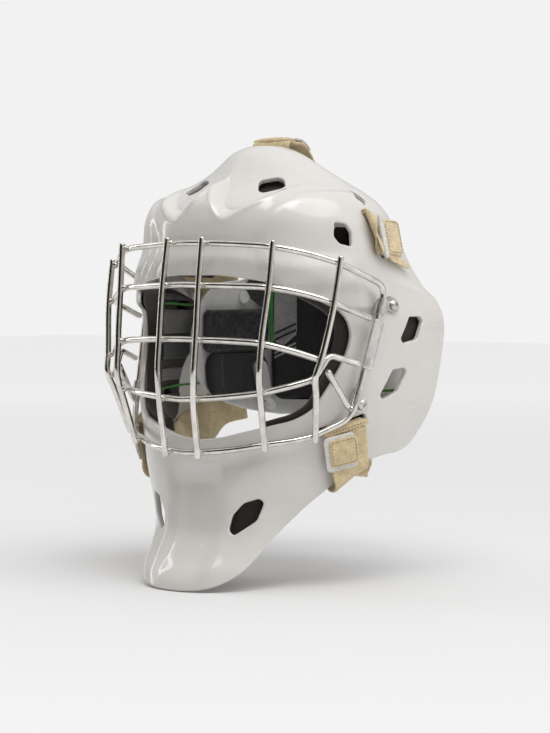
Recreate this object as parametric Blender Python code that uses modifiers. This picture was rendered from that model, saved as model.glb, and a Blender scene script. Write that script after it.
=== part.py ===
"""Ice-hockey goalie mask: moulded shell, wire cage, foam liner, backplate and strap harness.

The frame is in metres with +Z up. The mask faces -Y and the wearer's left is +X. The origin
lies inside the wearer's head, on the mask's plane of symmetry. Design tables are in
millimetres and are scaled once, by MM.
"""
import math
from collections import namedtuple

import bmesh
import bpy
from mathutils import Matrix, Vector

MM = 0.001
GAP = 0.3

# Shell
SHELL_THICKNESS = 4.0
SHELL_RING_STEPS = 36
SHELL_LEVELS = 30
Section = namedtuple("Section", "height front half_width middle reach squareness")
# One horizontal section per row, from the bottom of the chin to the crown: the height, the
# front's y, the half width, the y where the shell is widest, how far it reaches behind that,
# and how square the section is (2 is an ellipse).
SHELL_SECTIONS = [
    Section(-166, -122, 60, -50, 70, 2.15),
    Section(-154, -121, 63, -42, 75, 2.15),
    Section(-142, -117, 66, -34, 80, 2.15),
    Section(-129, -108, 68, -26, 85, 2.15),
    Section(-115, -99, 71, -20, 90, 2.15),
    Section(-100, -96, 78, -12, 95, 2.15),
    Section(-84, -94, 88, 0, 100, 2.20),
    Section(-68, -92, 97, 10, 110, 2.25),
    Section(-50, -89, 102, 14, 115, 2.35),
    Section(-25, -89, 106, 20, 120, 2.45),
    Section(5, -89, 108, 26, 120, 2.50),
    Section(35, -90, 109, 28, 115, 2.50),
    Section(58, -91, 104, 18, 95, 2.40),
    Section(75, -91, 100, 10, 80, 2.25),
    Section(92, -90, 97, 5, 70, 2.20),
    Section(108, -90, 93, 2, 60, 2.20),
    Section(119, -87, 87, 0, 53, 2.15),
    Section(128, -78, 76, -1, 46, 2.10),
    Section(136, -66, 62, -2, 40, 2.05),
    Section(144, -55, 50, -4, 33, 2.00),
    Section(152, -45, 38, -6, 26, 2.00),
    Section(159, -35, 26, -8, 19, 2.00),
    Section(163.2, -24, 14, -9, 11, 2.00),
    Section(164.5, -10.1, 0.1, -10, 0.1, 2.00),
]

# Outlines cut in the shell. Side outlines are (y, z) and front outlines are (x, z).
REAR_EDGE = [
    (12, 172), (15, 156), (20, 140), (27, 122), (33, 105), (37, 90), (42, 76), (48, 64),
    (56, 53), (61, 42), (61, 20), (57, -5), (50, -28), (41, -45), (31, -56), (20, -60),
    (0, -62), (-17, -66), (-34, -77), (-50, -92), (-66, -111), (-84, -130), (-102, -145),
    (-114, -152), (-128, -156),
]
FACE_OPENING_HALF = [
    (0, 67.5), (20, 67.5), (40, 65.5), (60, 62), (76, 56.5), (88, 48.5), (95.5, 39),
    (98, 28), (96.5, 14), (92, -2), (86, -17), (80.5, -27), (71, -34), (58, -38),
    (38, -43), (18, -47.5), (0, -49.5),
]
FACE_OPENING_BACK = 0
SIDE_VENTS = {
    "temple": [(-43.5, 105), (-35, 104), (-31.5, 98), (-32.5, 88), (-41.5, 90), (-45, 95)],
    "rear_top": [(-7, 129.2), (-3, 128.6), (-1.8, 122.5), (-8.6, 117.8), (-13, 120.2), (-14.3, 123.6)],
    "ear_upper": [(17, 38), (29, 38), (31.5, 35), (25, 21.5), (10, 19), (7.5, 22.5)],
    "ear_lower": [(1, 0), (13, 1), (15, -2), (6, -16), (-8, -21), (-11.5, -18)],
}
CHIN_VENT = [
    (49, -90), (51.5, -93), (47, -106), (34, -116), (30, -112), (32, -102), (39, -93.5),
]
TOP_VENT = [(24, -50), (25, -47.5), (35, -40), (39.5, -40), (45.5, -46.5), (45, -51), (34.5, -58), (29, -56.5)]
STRAP_WIDTH = 35.0
LOWER_STRAP_WIDTH = 31.0
STRAP_THICKNESS = 1.8
SLOT_LENGTH = 38.0
SLOT_WIDTH = 5.0
# Strap slots: (y, z) of the centre on the shell, and the direction that the slot runs in
SLOTS = {"upper": ((-7.5, 97.5), (0.25, 0.42, -0.87)), "lower": ((-41, -38), (0.47, 0.84, 0.27))}
TOP_SLOT_Y = -6.0
HEM_RUN = (0.35, 0.74, 0.57)

# Cage: centre lines of the left half, from the middle outwards
WIRE = 4.6
CAGE_TOP = [(0, -100.3, 90.5), (15.5, -99.2, 90.2), (42, -94.8, 89.2), (67.7, -88.8, 87.1),
            (88, -74.5, 82.2), (102.8, -60, 76.1)]
CAGE_TOP_CORNER = (112, -16, 60)
CAGE_LOWER_CORNER = (101.5, -43, -33)
CAGE_BOTTOM = [(84.5, -63, -45), (73, -75.5, -48.5), (58.1, -85, -51), (38, -96, -54.8),
               (14.4, -102.6, -57.3), (0, -104, -58)]
BROW_BAR = [(0, -104.7, 61), (15.7, -103.9, 60.6), (42, -98.5, 60), (66.5, -91.2, 58.8),
            (88, -77, 54), (101.5, -65.5, 48.5), (105.8, -47, 42.5), (108.3, -31, 37.5)]
EYE_BAR = [(0, -107.8, 22.5), (16, -107.1, 22.3), (42, -102.5, 21.6), (64.2, -96.5, 20),
           (82, -85, 14.8), (95.6, -72.5, 9)]
MOUTH_BAR = [(0, -109.3, -20), (15.6, -108.5, -19.2), (42, -103.5, -17), (63.1, -94.6, -14),
             (80, -85, -9.5)]
MOUTH_BAR_KNEE = (93.0, -75.5, -5)
MOUTH_BAR_HIP = (97.6, -63.8, 12)
MOUTH_BAR_END = (105.4, -39.5, 5.4)
UPRIGHTS = {
    "inner": [(16.0, -104.0, 93.5), (16.6, -108.6, 60.6), (16.9, -112.0, 22.3),
              (16.7, -113.9, 0), (15.9, -113.3, -19.2), (14.9, -107.2, -60.8)],
    "middle": [(70.2, -92.2, 90.6), (69.0, -95.6, 58.8), (66.7, -100.8, 20),
               (65.7, -101.5, -10), (64.4, -98.5, -20), (60.2, -88.6, -54.5)],
    "outer": [(106.9, -62.8, 79.6), (105.4, -68.6, 48.5), (99.6, -76.0, 9),
              (97.2, -79.2, -3.5), (94.6, -75.0, -16), (87.0, -65.5, -48.5)],
}
BRACE_TOP = (97.8, -65.5, 0.5)
BRACE_FOOT = (101.2, -46.5, -24.5)
RATING_PLATE = (8.5, 36.0, 1.0)
RATING_PLATE_HEIGHT = 19.0

# Cage clips: screw point as (y, z) on the shell, and the height of the bar that it holds
CLIP_WIDTH = 11.0
CLIP_SHEET = 1.1
CLIPS = {"upper": ((0.0, 46.0), 45.0), "lower": ((-29.0, -24.0), -18.0)}
SCREW_HEAD_RADIUS = 4.1
SCREW_SHANK_RADIUS = 2.0
SCREW_LENGTH = 7.6
NUT_FLANGE_RADIUS = 5.5
NUT_BARREL_RADIUS = 3.1
NUT_BORE_RADIUS = 2.3

# Liner, as depths below the shell's outer surface
LINER_DEPTH = 5.6
SIDE_LINER_OUTLINE = [
    (-100, 64), (-20, 62), (20, 52), (38, 45), (42, 30), (38, 15), (10, 6), (-4, -8),
    (-8, -30), (-14, -44), (-40, -47), (-60, -50), (-100, -52),
]

# Backplate: height, half width and rear reach of its sections, and the angle from straight
# back at which each level's front edge lies
PLATE_THICKNESS = 2.5
PLATE_MIDDLE = 25.0
PLATE_SECTIONS = [
    (-42, 79, 88), (-30, 82, 91), (-10, 85, 94), (10, 86, 95), (35, 85.5, 93), (55, 84, 90),
    (68, 82, 86), (80, 79, 81), (95, 73, 73), (110, 65, 63), (124, 56, 50), (130, 52, 44),
]
PLATE_EDGE_ANGLES = [
    (-42, 46), (-37, 66), (-28, 86), (-15, 100), (10, 107), (35, 104), (52, 97), (62, 86),
    (66, 68), (76, 50), (95, 38), (112, 32), (124, 27), (130, 20),
]
RIVET_RADIUS = 5.0

# Joints
PLATE_HINGE = (0, 80, 120)
# Side tabs: (y, z) on the shell of the hinge and of the free end, their height above the shell,
# the direction across the tab, and its width
Tab = namedtuple("Tab", "hinge end lift across width")
SIDE_TABS = {
    "upper": Tab((-10.0, 95.0), (19.0, 94.0), 4.2, (0.2, 0.1, -0.97), 28.0),
    "lower": Tab((-46.0, -43.5), (-40.0, -66.5), 7.4, (0.496, 0.863, 0.08), 25.0),
}
TAB_THICKNESS = 2.4
TOP_TAB_LINE = [(6, 169.4), (12, 169.2), (17.5, 166.9), (22.5, 162.8)]

PARTS = None
CUTTERS = None
MATERIALS = {}

FINISHES = {
    "shell_white": ((0.80, 0.79, 0.76, 1), 0.12, 0.0),
    "cage_steel": ((0.62, 0.60, 0.56, 1), 0.16, 1.0),
    "hardware_steel": ((0.58, 0.56, 0.52, 1), 0.25, 1.0),
    "liner_foam": ((0.035, 0.032, 0.030, 1), 0.85, 0.0),
    "backplate_plastic": ((0.82, 0.82, 0.80, 1), 0.30, 0.0),
    "pad_foam": ((0.040, 0.040, 0.042, 1), 0.80, 0.0),
    "strap_elastic": ((0.62, 0.50, 0.30, 1), 0.90, 0.0),
    "tab_webbing": ((0.78, 0.72, 0.60, 1), 0.80, 0.0),
    "plate_label": ((0.75, 0.75, 0.74, 1), 0.35, 0.0),
}


# ---------------------------------------------------------------- curves and surfaces
def parabolic_slopes(knots, values):
    """Slopes of a smooth curve through values at uneven knots."""
    steps = [b - a for a, b in zip(knots, knots[1:])]
    rates = [(b - a) / step for a, b, step in zip(values, values[1:], steps)]
    slopes = [rates[0]]
    for i in range(1, len(rates)):
        weighted = steps[i] * rates[i - 1] + steps[i - 1] * rates[i]
        slopes.append(weighted / (steps[i] + steps[i - 1]))
    slopes.append(rates[-1])
    return slopes


class SmoothTable:
    """Columns of numbers read smoothly between their rows."""

    def __init__(self, knots, columns):
        self.knots = knots
        self.columns = columns
        self.slopes = [parabolic_slopes(knots, column) for column in columns]

    def read(self, position):
        knots = self.knots
        position = min(max(position, knots[0]), knots[-1])
        row = 0
        while row < len(knots) - 2 and position > knots[row + 1]:
            row += 1
        step = knots[row + 1] - knots[row]
        s = (position - knots[row]) / step
        start, end = 2 * s**3 - 3 * s**2 + 1, -2 * s**3 + 3 * s**2
        leave, arrive = (s**3 - 2 * s**2 + s) * step, (s**3 - s**2) * step
        return [
            start * values[row] + leave * slopes[row]
            + end * values[row + 1] + arrive * slopes[row + 1]
            for values, slopes in zip(self.columns, self.slopes)
        ]


def smooth_path(points, count):
    """A smooth curve through points, as count evenly parted points."""
    knots = [0.0]
    for a, b in zip(points, points[1:]):
        knots.append(knots[-1] + (Vector(b) - Vector(a)).length)
    table = SmoothTable(knots, [list(column) for column in zip(*points)])
    return [tuple(table.read(knots[-1] * i / (count - 1))) for i in range(count)]


def round_corner(before, corner, after, radius, steps=5):
    """Points of a bend that replaces a sharp corner of a wire."""
    corner = Vector(corner)
    start = corner + (Vector(before) - corner).normalized() * radius
    end = corner + (Vector(after) - corner).normalized() * radius
    bend = []
    for i in range(steps + 1):
        s = i / steps
        point = start * (1 - s) ** 2 + corner * 2 * s * (1 - s) + end * s**2
        bend.append(tuple(point))
    return bend


def smoothstep(low, high, value):
    s = min(max((value - low) / (high - low), 0.0), 1.0)
    return s * s * (3 - 2 * s)


def shell_knots():
    knots = [0.0]
    for a, b in zip(SHELL_SECTIONS, SHELL_SECTIONS[1:]):
        knots.append(knots[-1] + math.hypot(b.height - a.height, b.half_width - a.half_width))
    return knots


SHELL_TABLE = SmoothTable(shell_knots(), [list(column) for column in zip(*SHELL_SECTIONS)])
SHELL_TOP = SHELL_TABLE.knots[-1]


def plain_shell_point(angle, level):
    """Outer surface before sculpting: angle from straight ahead, level along the profile."""
    height, front, half_width, middle, reach, squareness = SHELL_TABLE.read(level)
    side, ahead = math.sin(angle), math.cos(angle)
    depth = middle - front if ahead > 0 else reach
    depth, half_width = max(depth, 0.1), max(half_width, 0.1)
    radius = (abs(side) / half_width) ** squareness + (abs(ahead) / depth) ** squareness
    radius = radius ** (-1 / squareness)
    return Vector((radius * side, middle - radius * ahead, height))


def sculpt(point):
    """How far the sculpted surface stands out of the plain one."""
    across, y, z = abs(point.x), point.y, point.z
    scoop = math.hypot((across - 33 - 0.35 * (z - 128)) / 20, (z - 127) / 19)
    height = -6.0 * (1 - smoothstep(0.35, 1.0, scoop)) * smoothstep(20, -35, y)
    panel = math.hypot((across - 84) / 30, (z - 94) / 34)
    height += 2.5 * (1 - smoothstep(0.7, 1.1, panel)) * smoothstep(0, -30, y)
    height += 3.0 * smoothstep(88, 70, z) * smoothstep(54, 62, z) * smoothstep(-20, -45, y)
    ear = smoothstep(20, 52, y) * smoothstep(62, 50, z) * smoothstep(-60, -20, z)
    height += 3.5 * ear
    groove = smoothstep(26, 14, across) * smoothstep(-62, -80, z) * smoothstep(-152, -130, z)
    height += -2.5 * groove * smoothstep(-40, -60, y)
    return height


def surface_normal(surface, angle, level):
    """Outward normal, from two small steps along the surface."""
    step_angle, step_level = 0.002, 0.3
    level = min(max(level, step_level), SHELL_TOP - 2 * step_level)
    along = surface(angle + step_angle, level) - surface(angle - step_angle, level)
    up = surface(angle, level + step_level) - surface(angle, level - step_level)
    normal = along.cross(up).normalized()
    return normal


def shell_point(angle, level):
    point = plain_shell_point(angle, level)
    normal = surface_normal(plain_shell_point, angle, level)
    return point + normal * sculpt(point)


def shell_depth_point(angle, level, depth):
    """A point below the shell's outer surface, or above it where depth is negative."""
    return shell_point(angle, level) - surface_normal(plain_shell_point, angle, level) * depth


def shell_level(height):
    """The level whose section lies at a height."""
    low, high = 0.0, SHELL_TOP
    for _ in range(40):
        middle = (low + high) / 2
        if SHELL_TABLE.read(middle)[0] < height:
            low = middle
        else:
            high = middle
    return low


def shell_side_angle(y, level):
    """The angle on the left side at which the shell reaches y."""
    low, high = 0.0, math.pi
    for _ in range(40):
        middle = (low + high) / 2
        if plain_shell_point(middle, level).y < y:
            low = middle
        else:
            high = middle
    return low


def side_frame(y, z):
    """Origin on the left side of the shell, with its outward normal."""
    level = shell_level(z)
    angle = shell_side_angle(y, level)
    return shell_point(angle, level), surface_normal(plain_shell_point, angle, level)


def on_side(y, z, lift):
    """A point above the left side of the shell, or below it where lift is negative."""
    point, normal = side_frame(y, z)
    return point + normal * lift


def slot_frame(name):
    """Centre, run and outward normal of a strap slot on the left side."""
    place, run = SLOTS[name]
    centre, normal = side_frame(*place)
    run = Vector(run)
    run = (run - normal * run.dot(normal)).normalized()
    return centre, run, normal


PLATE_TABLE = SmoothTable(
    [row[0] for row in PLATE_SECTIONS],
    [[row[1] for row in PLATE_SECTIONS], [row[2] for row in PLATE_SECTIONS]],
)
PLATE_EDGE_TABLE = SmoothTable(
    [row[0] for row in PLATE_EDGE_ANGLES], [[row[1] for row in PLATE_EDGE_ANGLES]]
)


def plate_point(angle, height, depth=0.0):
    """Backplate surface: angle from straight back, depth towards the head."""
    half_width, reach = PLATE_TABLE.read(height)
    half_width, reach = half_width - depth, reach - depth
    side, back = math.sin(angle), math.cos(angle)
    radius = (abs(side) / half_width) ** 2.2 + (abs(back) / reach) ** 2.2
    radius = radius ** (-1 / 2.2)
    return Vector((radius * side, PLATE_MIDDLE + radius * back, height))


def plate_normal(angle, height):
    """Outward normal of the backplate."""
    along = plate_point(angle + 0.01, height) - plate_point(angle - 0.01, height)
    up = plate_point(angle, height + 0.5) - plate_point(angle, height - 0.5)
    normal = along.cross(up).normalized()
    outward = plate_point(angle, height) - Vector((0, PLATE_MIDDLE, height))
    return normal * math.copysign(1, normal.dot(outward))


# ---------------------------------------------------------------- Blender helpers
def clear_scene():
    for item in list(bpy.data.objects):
        bpy.data.objects.remove(item, do_unlink=True)


def new_collection(name):
    collection = bpy.data.collections.new(name)
    bpy.context.scene.collection.children.link(collection)
    return collection


def material(name):
    if name not in MATERIALS:
        colour, roughness, metallic = FINISHES[name]
        item = bpy.data.materials.new(name)
        item.use_nodes = True
        shader = item.node_tree.nodes["Principled BSDF"]
        shader.inputs["Base Color"].default_value = colour
        shader.inputs["Roughness"].default_value = roughness
        shader.inputs["Metallic"].default_value = metallic
        item.diffuse_color = colour
        MATERIALS[name] = item
    return MATERIALS[name]


def add_part(name, mesh, finish, smooth_angle=35):
    mesh.materials.clear()
    mesh.materials.append(material(finish))
    item = bpy.data.objects.new(name, mesh)
    PARTS.objects.link(item)
    mesh.shade_smooth()
    mesh.set_sharp_from_angle(angle=math.radians(smooth_angle))
    return item


def add_cutter(name, mesh, collection=None):
    item = bpy.data.objects.new(name, mesh)
    (collection or CUTTERS).objects.link(item)
    item.hide_render = True
    item.display_type = "WIRE"
    return item


def hang_from_hinge(name, hinge, items):
    """Parent items to an empty on a joint's axis, which leaves them where they are."""
    empty = bpy.data.objects.new(name, None)
    PARTS.objects.link(empty)
    empty.location = Vector(hinge) * MM
    for item in items:
        item.parent = empty
        item.matrix_parent_inverse = Matrix.Translation(-empty.location)


def face_outwards(work):
    """Weld a closed bmesh and turn its faces to point out."""
    bmesh.ops.remove_doubles(work, verts=work.verts, dist=0.00001)
    bmesh.ops.recalc_face_normals(work, faces=work.faces)
    if work.calc_volume(signed=True) < 0:
        bmesh.ops.reverse_faces(work, faces=work.faces)


def curve_mesh(name, curve, matrix=None):
    """The mesh that a curve makes, with its caps welded."""
    item = bpy.data.objects.new(name + "_curve", curve)
    bpy.context.scene.collection.objects.link(item)
    graph = bpy.context.evaluated_depsgraph_get()
    mesh = bpy.data.meshes.new_from_object(item.evaluated_get(graph))
    mesh.name = name
    bpy.data.objects.remove(item, do_unlink=True)
    work = bmesh.new()
    work.from_mesh(mesh)
    face_outwards(work)
    work.to_mesh(mesh)
    work.free()
    if matrix is not None:
        mesh.transform(matrix)
    return mesh


def prism_mesh(name, outline, origin, right, up, half_depth):
    """A prism of an outline in the plane of right and up, through origin both ways."""
    curve = bpy.data.curves.new(name, "CURVE")
    curve.dimensions = "2D"
    curve.fill_mode = "BOTH"
    curve.extrude = half_depth * MM
    spline = curve.splines.new("POLY")
    spline.points.add(len(outline) - 1)
    for point, (a, b) in zip(spline.points, outline):
        point.co = (a * MM, b * MM, 0, 1)
    spline.use_cyclic_u = True
    right, up = Vector(right).normalized(), Vector(up)
    out = right.cross(up).normalized()
    up = out.cross(right)
    matrix = Matrix((right, up, out)).transposed().to_4x4()
    matrix.translation = Vector(origin) * MM
    return curve_mesh(name, curve, matrix)


def rounded(outline, radius, steps=3):
    """A closed outline with its corners rounded."""
    points = []
    for i, corner in enumerate(outline):
        before = (*outline[i - 1], 0)
        after = (*outline[(i + 1) % len(outline)], 0)
        bend = round_corner(before, (*corner, 0), after, radius, steps)
        points.extend(point[:2] for point in bend)
    return points


def wire_mesh(name, points, radius, cyclic=False):
    curve = bpy.data.curves.new(name, "CURVE")
    curve.dimensions = "3D"
    curve.bevel_depth = radius * MM
    curve.bevel_resolution = 2
    curve.use_fill_caps = True
    spline = curve.splines.new("POLY")
    spline.points.add(len(points) - 1)
    for point, place in zip(spline.points, points):
        point.co = (*(Vector(place) * MM), 1)
    spline.use_cyclic_u = cyclic
    return curve_mesh(name, curve)


def sheet_mesh(name, rows):
    """An open sheet through rows of points in millimetres."""
    mesh = bpy.data.meshes.new(name)
    vertices = [tuple(Vector(point) * MM) for row in rows for point in row]
    width = len(rows[0])
    faces = []
    for i in range(len(rows) - 1):
        for j in range(width - 1):
            a = i * width + j
            faces.append((a, a + 1, a + width + 1, a + width))
    mesh.from_pydata(vertices, [], faces)
    return mesh


def face_away(mesh, centre):
    """Turn a sheet's faces so that they point away from a point in millimetres."""
    face = mesh.polygons[len(mesh.polygons) // 2]
    if face.normal.dot(face.center - Vector(centre) * MM) < 0:
        mesh.flip_normals()


def solidify(item, thickness, offset=-1.0):
    """Give a sheet its thickness: inwards, or both ways for a band, which may fold tightly."""
    modifier = item.modifiers.new("thickness", "SOLIDIFY")
    modifier.thickness = thickness * MM
    modifier.offset = offset
    modifier.use_even_offset = offset != 0.0


def subtract(item, cutter, operation="DIFFERENCE"):
    modifier = item.modifiers.new(operation.lower(), "BOOLEAN")
    modifier.operation = operation
    modifier.solver = "EXACT"
    if isinstance(cutter, bpy.types.Collection):
        modifier.operand_type = "COLLECTION"
        modifier.collection = cutter
    else:
        modifier.object = cutter


def turned_mesh(name, profile, steps, origin, axis):
    """A turned shape: (radius, height) from the top's middle down the outside."""
    work = bmesh.new()
    loop = [work.verts.new((radius * MM, 0, height * MM)) for radius, height in profile]
    edges = [work.edges.new(pair) for pair in zip(loop, loop[1:])]
    bmesh.ops.spin(
        work, geom=loop + edges, axis=(0, 0, 1), cent=(0, 0, 0),
        angle=2 * math.pi, steps=steps, use_merge=True,
    )
    face_outwards(work)
    mesh = bpy.data.meshes.new(name)
    work.to_mesh(mesh)
    work.free()
    turn = Vector(axis).to_track_quat("Z", "Y").to_matrix().to_4x4()
    turn.translation = Vector(origin) * MM
    mesh.transform(turn)
    return mesh


def mirrored(vector):
    return Vector((-vector[0], vector[1], vector[2]))


def for_side(vector, side):
    return Vector(vector) if side == "left" else mirrored(vector)


# ---------------------------------------------------------------- shell
def shell_rows():
    rows = []
    for i in range(SHELL_LEVELS):
        level = SHELL_TOP * i / SHELL_LEVELS
        ring = [
            shell_point(-math.pi + 2 * math.pi * j / SHELL_RING_STEPS, level)
            for j in range(SHELL_RING_STEPS)
        ]
        rows.append(ring)
    return rows


def dome_mesh(name, rows, pole):
    """A closed-topped dome through rings of points and one pole."""
    mesh = bpy.data.meshes.new(name)
    steps = len(rows[0])
    vertices = [tuple(point * MM) for ring in rows for point in ring]
    vertices.append(tuple(pole * MM))
    faces = []
    for i in range(len(rows) - 1):
        for j in range(steps):
            a, b = i * steps + j, i * steps + (j + 1) % steps
            faces.append((a, b, b + steps, a + steps))
    last = (len(rows) - 1) * steps
    for j in range(steps):
        faces.append((last + j, last + (j + 1) % steps, len(vertices) - 1))
    mesh.from_pydata(vertices, [], faces)
    return mesh


def rear_cutter():
    outline = list(REAR_EDGE) + [(-160, -160), (-160, -230), (260, -230), (260, 200), (12, 200)]
    return prism_mesh("cut_rear_and_hem", outline, (0, 0, 0), (0, 1, 0), (0, 0, 1), 160)


def face_outline(grow=0.0):
    half = smooth_path([(x, z, 0) for x, z in FACE_OPENING_HALF], 34)
    half = [(x, z) for x, z, _ in half]
    centre = 10.0
    grown = []
    for x, z in half:
        away = Vector((x, z - centre))
        away = away * (1 + grow / away.length)
        grown.append((away.x, away.y + centre))
    left = [(-x, z) for x, z in reversed(grown[1:-1])]
    return grown + left


def face_cutter(name, grow=0.0):
    front, back = -170, FACE_OPENING_BACK
    middle = ((front + back) / 2)
    return prism_mesh(name, face_outline(grow), (0, middle, 0), (1, 0, 0), (0, 0, 1),
                      (back - front) / 2)


def slot_outline(length=SLOT_LENGTH, width=SLOT_WIDTH):
    a, b = length / 2, width / 2
    return rounded([(-a, -b), (a, -b), (a, b), (-a, b)], width * 0.4)


def make_shell_cutters():
    cutters = new_collection("goalie_mask_shell_cutters")
    add_cutter("cut_rear_and_hem", rear_cutter(), cutters)
    add_cutter("cut_face_opening", face_cutter("cut_face_opening"), cutters)
    for name, outline in SIDE_VENTS.items():
        radius = 1.2 if name == "rear_top" else 2.2
        mesh = prism_mesh("cut_vent_" + name, rounded(outline, radius),
                          (0, 0, 0), (0, 1, 0), (0, 0, 1), 150)
        add_cutter("cut_vent_" + name, mesh, cutters)
    for side, sign in (("left", 1), ("right", -1)):
        chin = [(sign * x, z) for x, z in rounded(CHIN_VENT, 2.0)]
        mesh = prism_mesh("cut_vent_chin_" + side, chin, (0, -100, 0), (1, 0, 0), (0, 0, 1), 45)
        add_cutter("cut_vent_chin_" + side, mesh, cutters)
        top = [(sign * x, y) for x, y in rounded(TOP_VENT, 2.5)]
        mesh = prism_mesh("cut_vent_top_" + side, top, (0, 0, 135), (1, 0, 0), (0, 1, 0), 30)
        add_cutter("cut_vent_top_" + side, mesh, cutters)
        for name in SLOTS:
            centre, run, normal = slot_frame(name)
            across = run.cross(normal)
            mesh = prism_mesh("cut_slot_" + name + "_" + side, slot_outline(),
                              for_side(centre, side), for_side(run, side),
                              for_side(across, side), 14)
            add_cutter("cut_slot_" + name + "_" + side, mesh, cutters)
        for name, (place, _) in CLIPS.items():
            point, normal = side_frame(*place)
            mesh = turned_mesh("cut_screw_hole", [(0, 8), (3.5, 8), (3.5, -8), (0, -8)], 16,
                               for_side(point, side), for_side(normal, side))
            add_cutter("cut_screw_hole_" + name + "_" + side, mesh, cutters)
    mesh = prism_mesh("cut_slot_top", slot_outline(), (0, TOP_SLOT_Y, 160),
                      (1, 0, 0), (0, 1, 0), 12)
    add_cutter("cut_slot_top", mesh, cutters)
    return cutters


def make_shell():
    pole = Vector((0, SHELL_SECTIONS[-1].middle, SHELL_SECTIONS[-1].height))
    shell = add_part("shell", dome_mesh("shell", shell_rows(), pole), "shell_white")
    solidify(shell, SHELL_THICKNESS)
    subtract(shell, make_shell_cutters())


# ---------------------------------------------------------------- cage
def both_sides(half):
    """A centre line from the middle outwards, carried across to the other side."""
    return [tuple(mirrored(point)) for point in reversed(half[1:])] + list(half)


def add_wire(name, points, cyclic=False):
    return add_part(name, wire_mesh(name, points, WIRE / 2, cyclic), "cage_steel", 60)


def side_bar_point(height):
    """Centre of the left side bar of the perimeter wire at a height."""
    low, high = Vector(CAGE_LOWER_CORNER), Vector(CAGE_TOP_CORNER)
    return low.lerp(high, (height - low.z) / (high.z - low.z))


def make_cage():
    top = smooth_path(CAGE_TOP, 12)
    bottom = smooth_path(CAGE_BOTTOM, 11)
    upper_bend = round_corner(top[-1], CAGE_TOP_CORNER, CAGE_LOWER_CORNER, 9)
    lower_bend = round_corner(CAGE_TOP_CORNER, CAGE_LOWER_CORNER, bottom[0], 8)
    left = top + upper_bend + lower_bend + bottom
    right = [tuple(mirrored(point)) for point in reversed(left[1:-1])]
    add_wire("cage_perimeter_wire", left + right, cyclic=True)
    add_wire("cage_brow_bar", both_sides(smooth_path(BROW_BAR, 14)))
    add_wire("cage_eye_bar", both_sides(smooth_path(EYE_BAR, 12)))
    mouth = smooth_path(MOUTH_BAR, 9)
    mouth += round_corner(mouth[-1], MOUTH_BAR_KNEE, MOUTH_BAR_HIP, 5)
    mouth += round_corner(MOUTH_BAR_KNEE, MOUTH_BAR_HIP, MOUTH_BAR_END, 4)
    add_wire("cage_mouth_bar", both_sides(mouth + [MOUTH_BAR_END]))
    for side in ("left", "right"):
        for name, line in UPRIGHTS.items():
            points = [tuple(for_side(point, side)) for point in line]
            add_wire("cage_upright_" + name + "_" + side, points)
        ends = [tuple(for_side(point, side)) for point in (BRACE_TOP, BRACE_FOOT)]
        add_wire("cage_diagonal_brace_" + side, ends)
    make_rating_plate()


def make_rating_plate():
    """The small blank plate that stands against the outside of the left side bar."""
    width, length, thickness = RATING_PLATE
    bar = side_bar_point(RATING_PLATE_HEIGHT)
    run = (Vector(CAGE_TOP_CORNER) - Vector(CAGE_LOWER_CORNER)).normalized()
    out = Vector((1, -0.25, 0))
    out = (out - run * out.dot(run)).normalized()
    centre = bar + out * (WIRE / 2 + GAP + thickness / 2)
    outline = rounded([(-width / 2, -length / 2), (width / 2, -length / 2),
                       (width / 2, length / 2), (-width / 2, length / 2)], 1.2)
    mesh = prism_mesh("cage_rating_plate", outline, centre, run.cross(out), run, thickness / 2)
    add_part("cage_rating_plate", mesh, "plate_label")


# ---------------------------------------------------------------- clips and screws
def clip_line(reach, height):
    """Side view of a clip: a tab on the shell that goes round the bar."""
    loop = WIRE / 2 + GAP + CLIP_SHEET / 2 + 0.1
    lift = GAP + CLIP_SHEET / 2
    line = [(-5, lift), (SCREW_HEAD_RADIUS + 0.5, lift), (reach - loop - 0.8, lift)]
    for i in range(14):
        angle = math.radians(-120 + 285 * i / 13)
        line.append((reach + loop * math.cos(angle), height + loop * math.sin(angle)))
    return line


def make_clips():
    bar_run = (Vector(CAGE_TOP_CORNER) - Vector(CAGE_LOWER_CORNER)).normalized()
    for name, (place, bar_height) in CLIPS.items():
        point, normal = side_frame(*place)
        to_bar = side_bar_point(bar_height) - point
        tab_run = (bar_run - normal * bar_run.dot(normal)).normalized()
        ahead = normal.cross(tab_run)
        ahead = ahead * math.copysign(1, ahead.dot(to_bar))
        reach, height, drift = to_bar.dot(ahead), to_bar.dot(normal), to_bar.dot(tab_run)
        for side in ("left", "right"):
            rows = []
            for u, h in clip_line(reach, height):
                share = smoothstep(SCREW_HEAD_RADIUS + 0.5, reach - 4, u)
                centre = point + ahead * u + normal * h + tab_run * (drift * share)
                run = tab_run.lerp(bar_run, share) * (CLIP_WIDTH / 2)
                rows.append([for_side(centre + run * s, side) for s in (-1, 1)])
            label = name + "_" + side
            clip = add_part("cage_clip_" + label, sheet_mesh("cage_clip_" + label, rows),
                            "hardware_steel")
            solidify(clip, CLIP_SHEET, 0.0)
            axis, origin = for_side(normal, side), for_side(point, side)
            hole = turned_mesh("cut_clip_hole", [(0, 6), (2.6, 6), (2.6, -6), (0, -6)], 12,
                               origin, axis)
            subtract(clip, add_cutter("cut_clip_hole_" + label, hole))
            make_screw(label, origin, axis)


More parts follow.
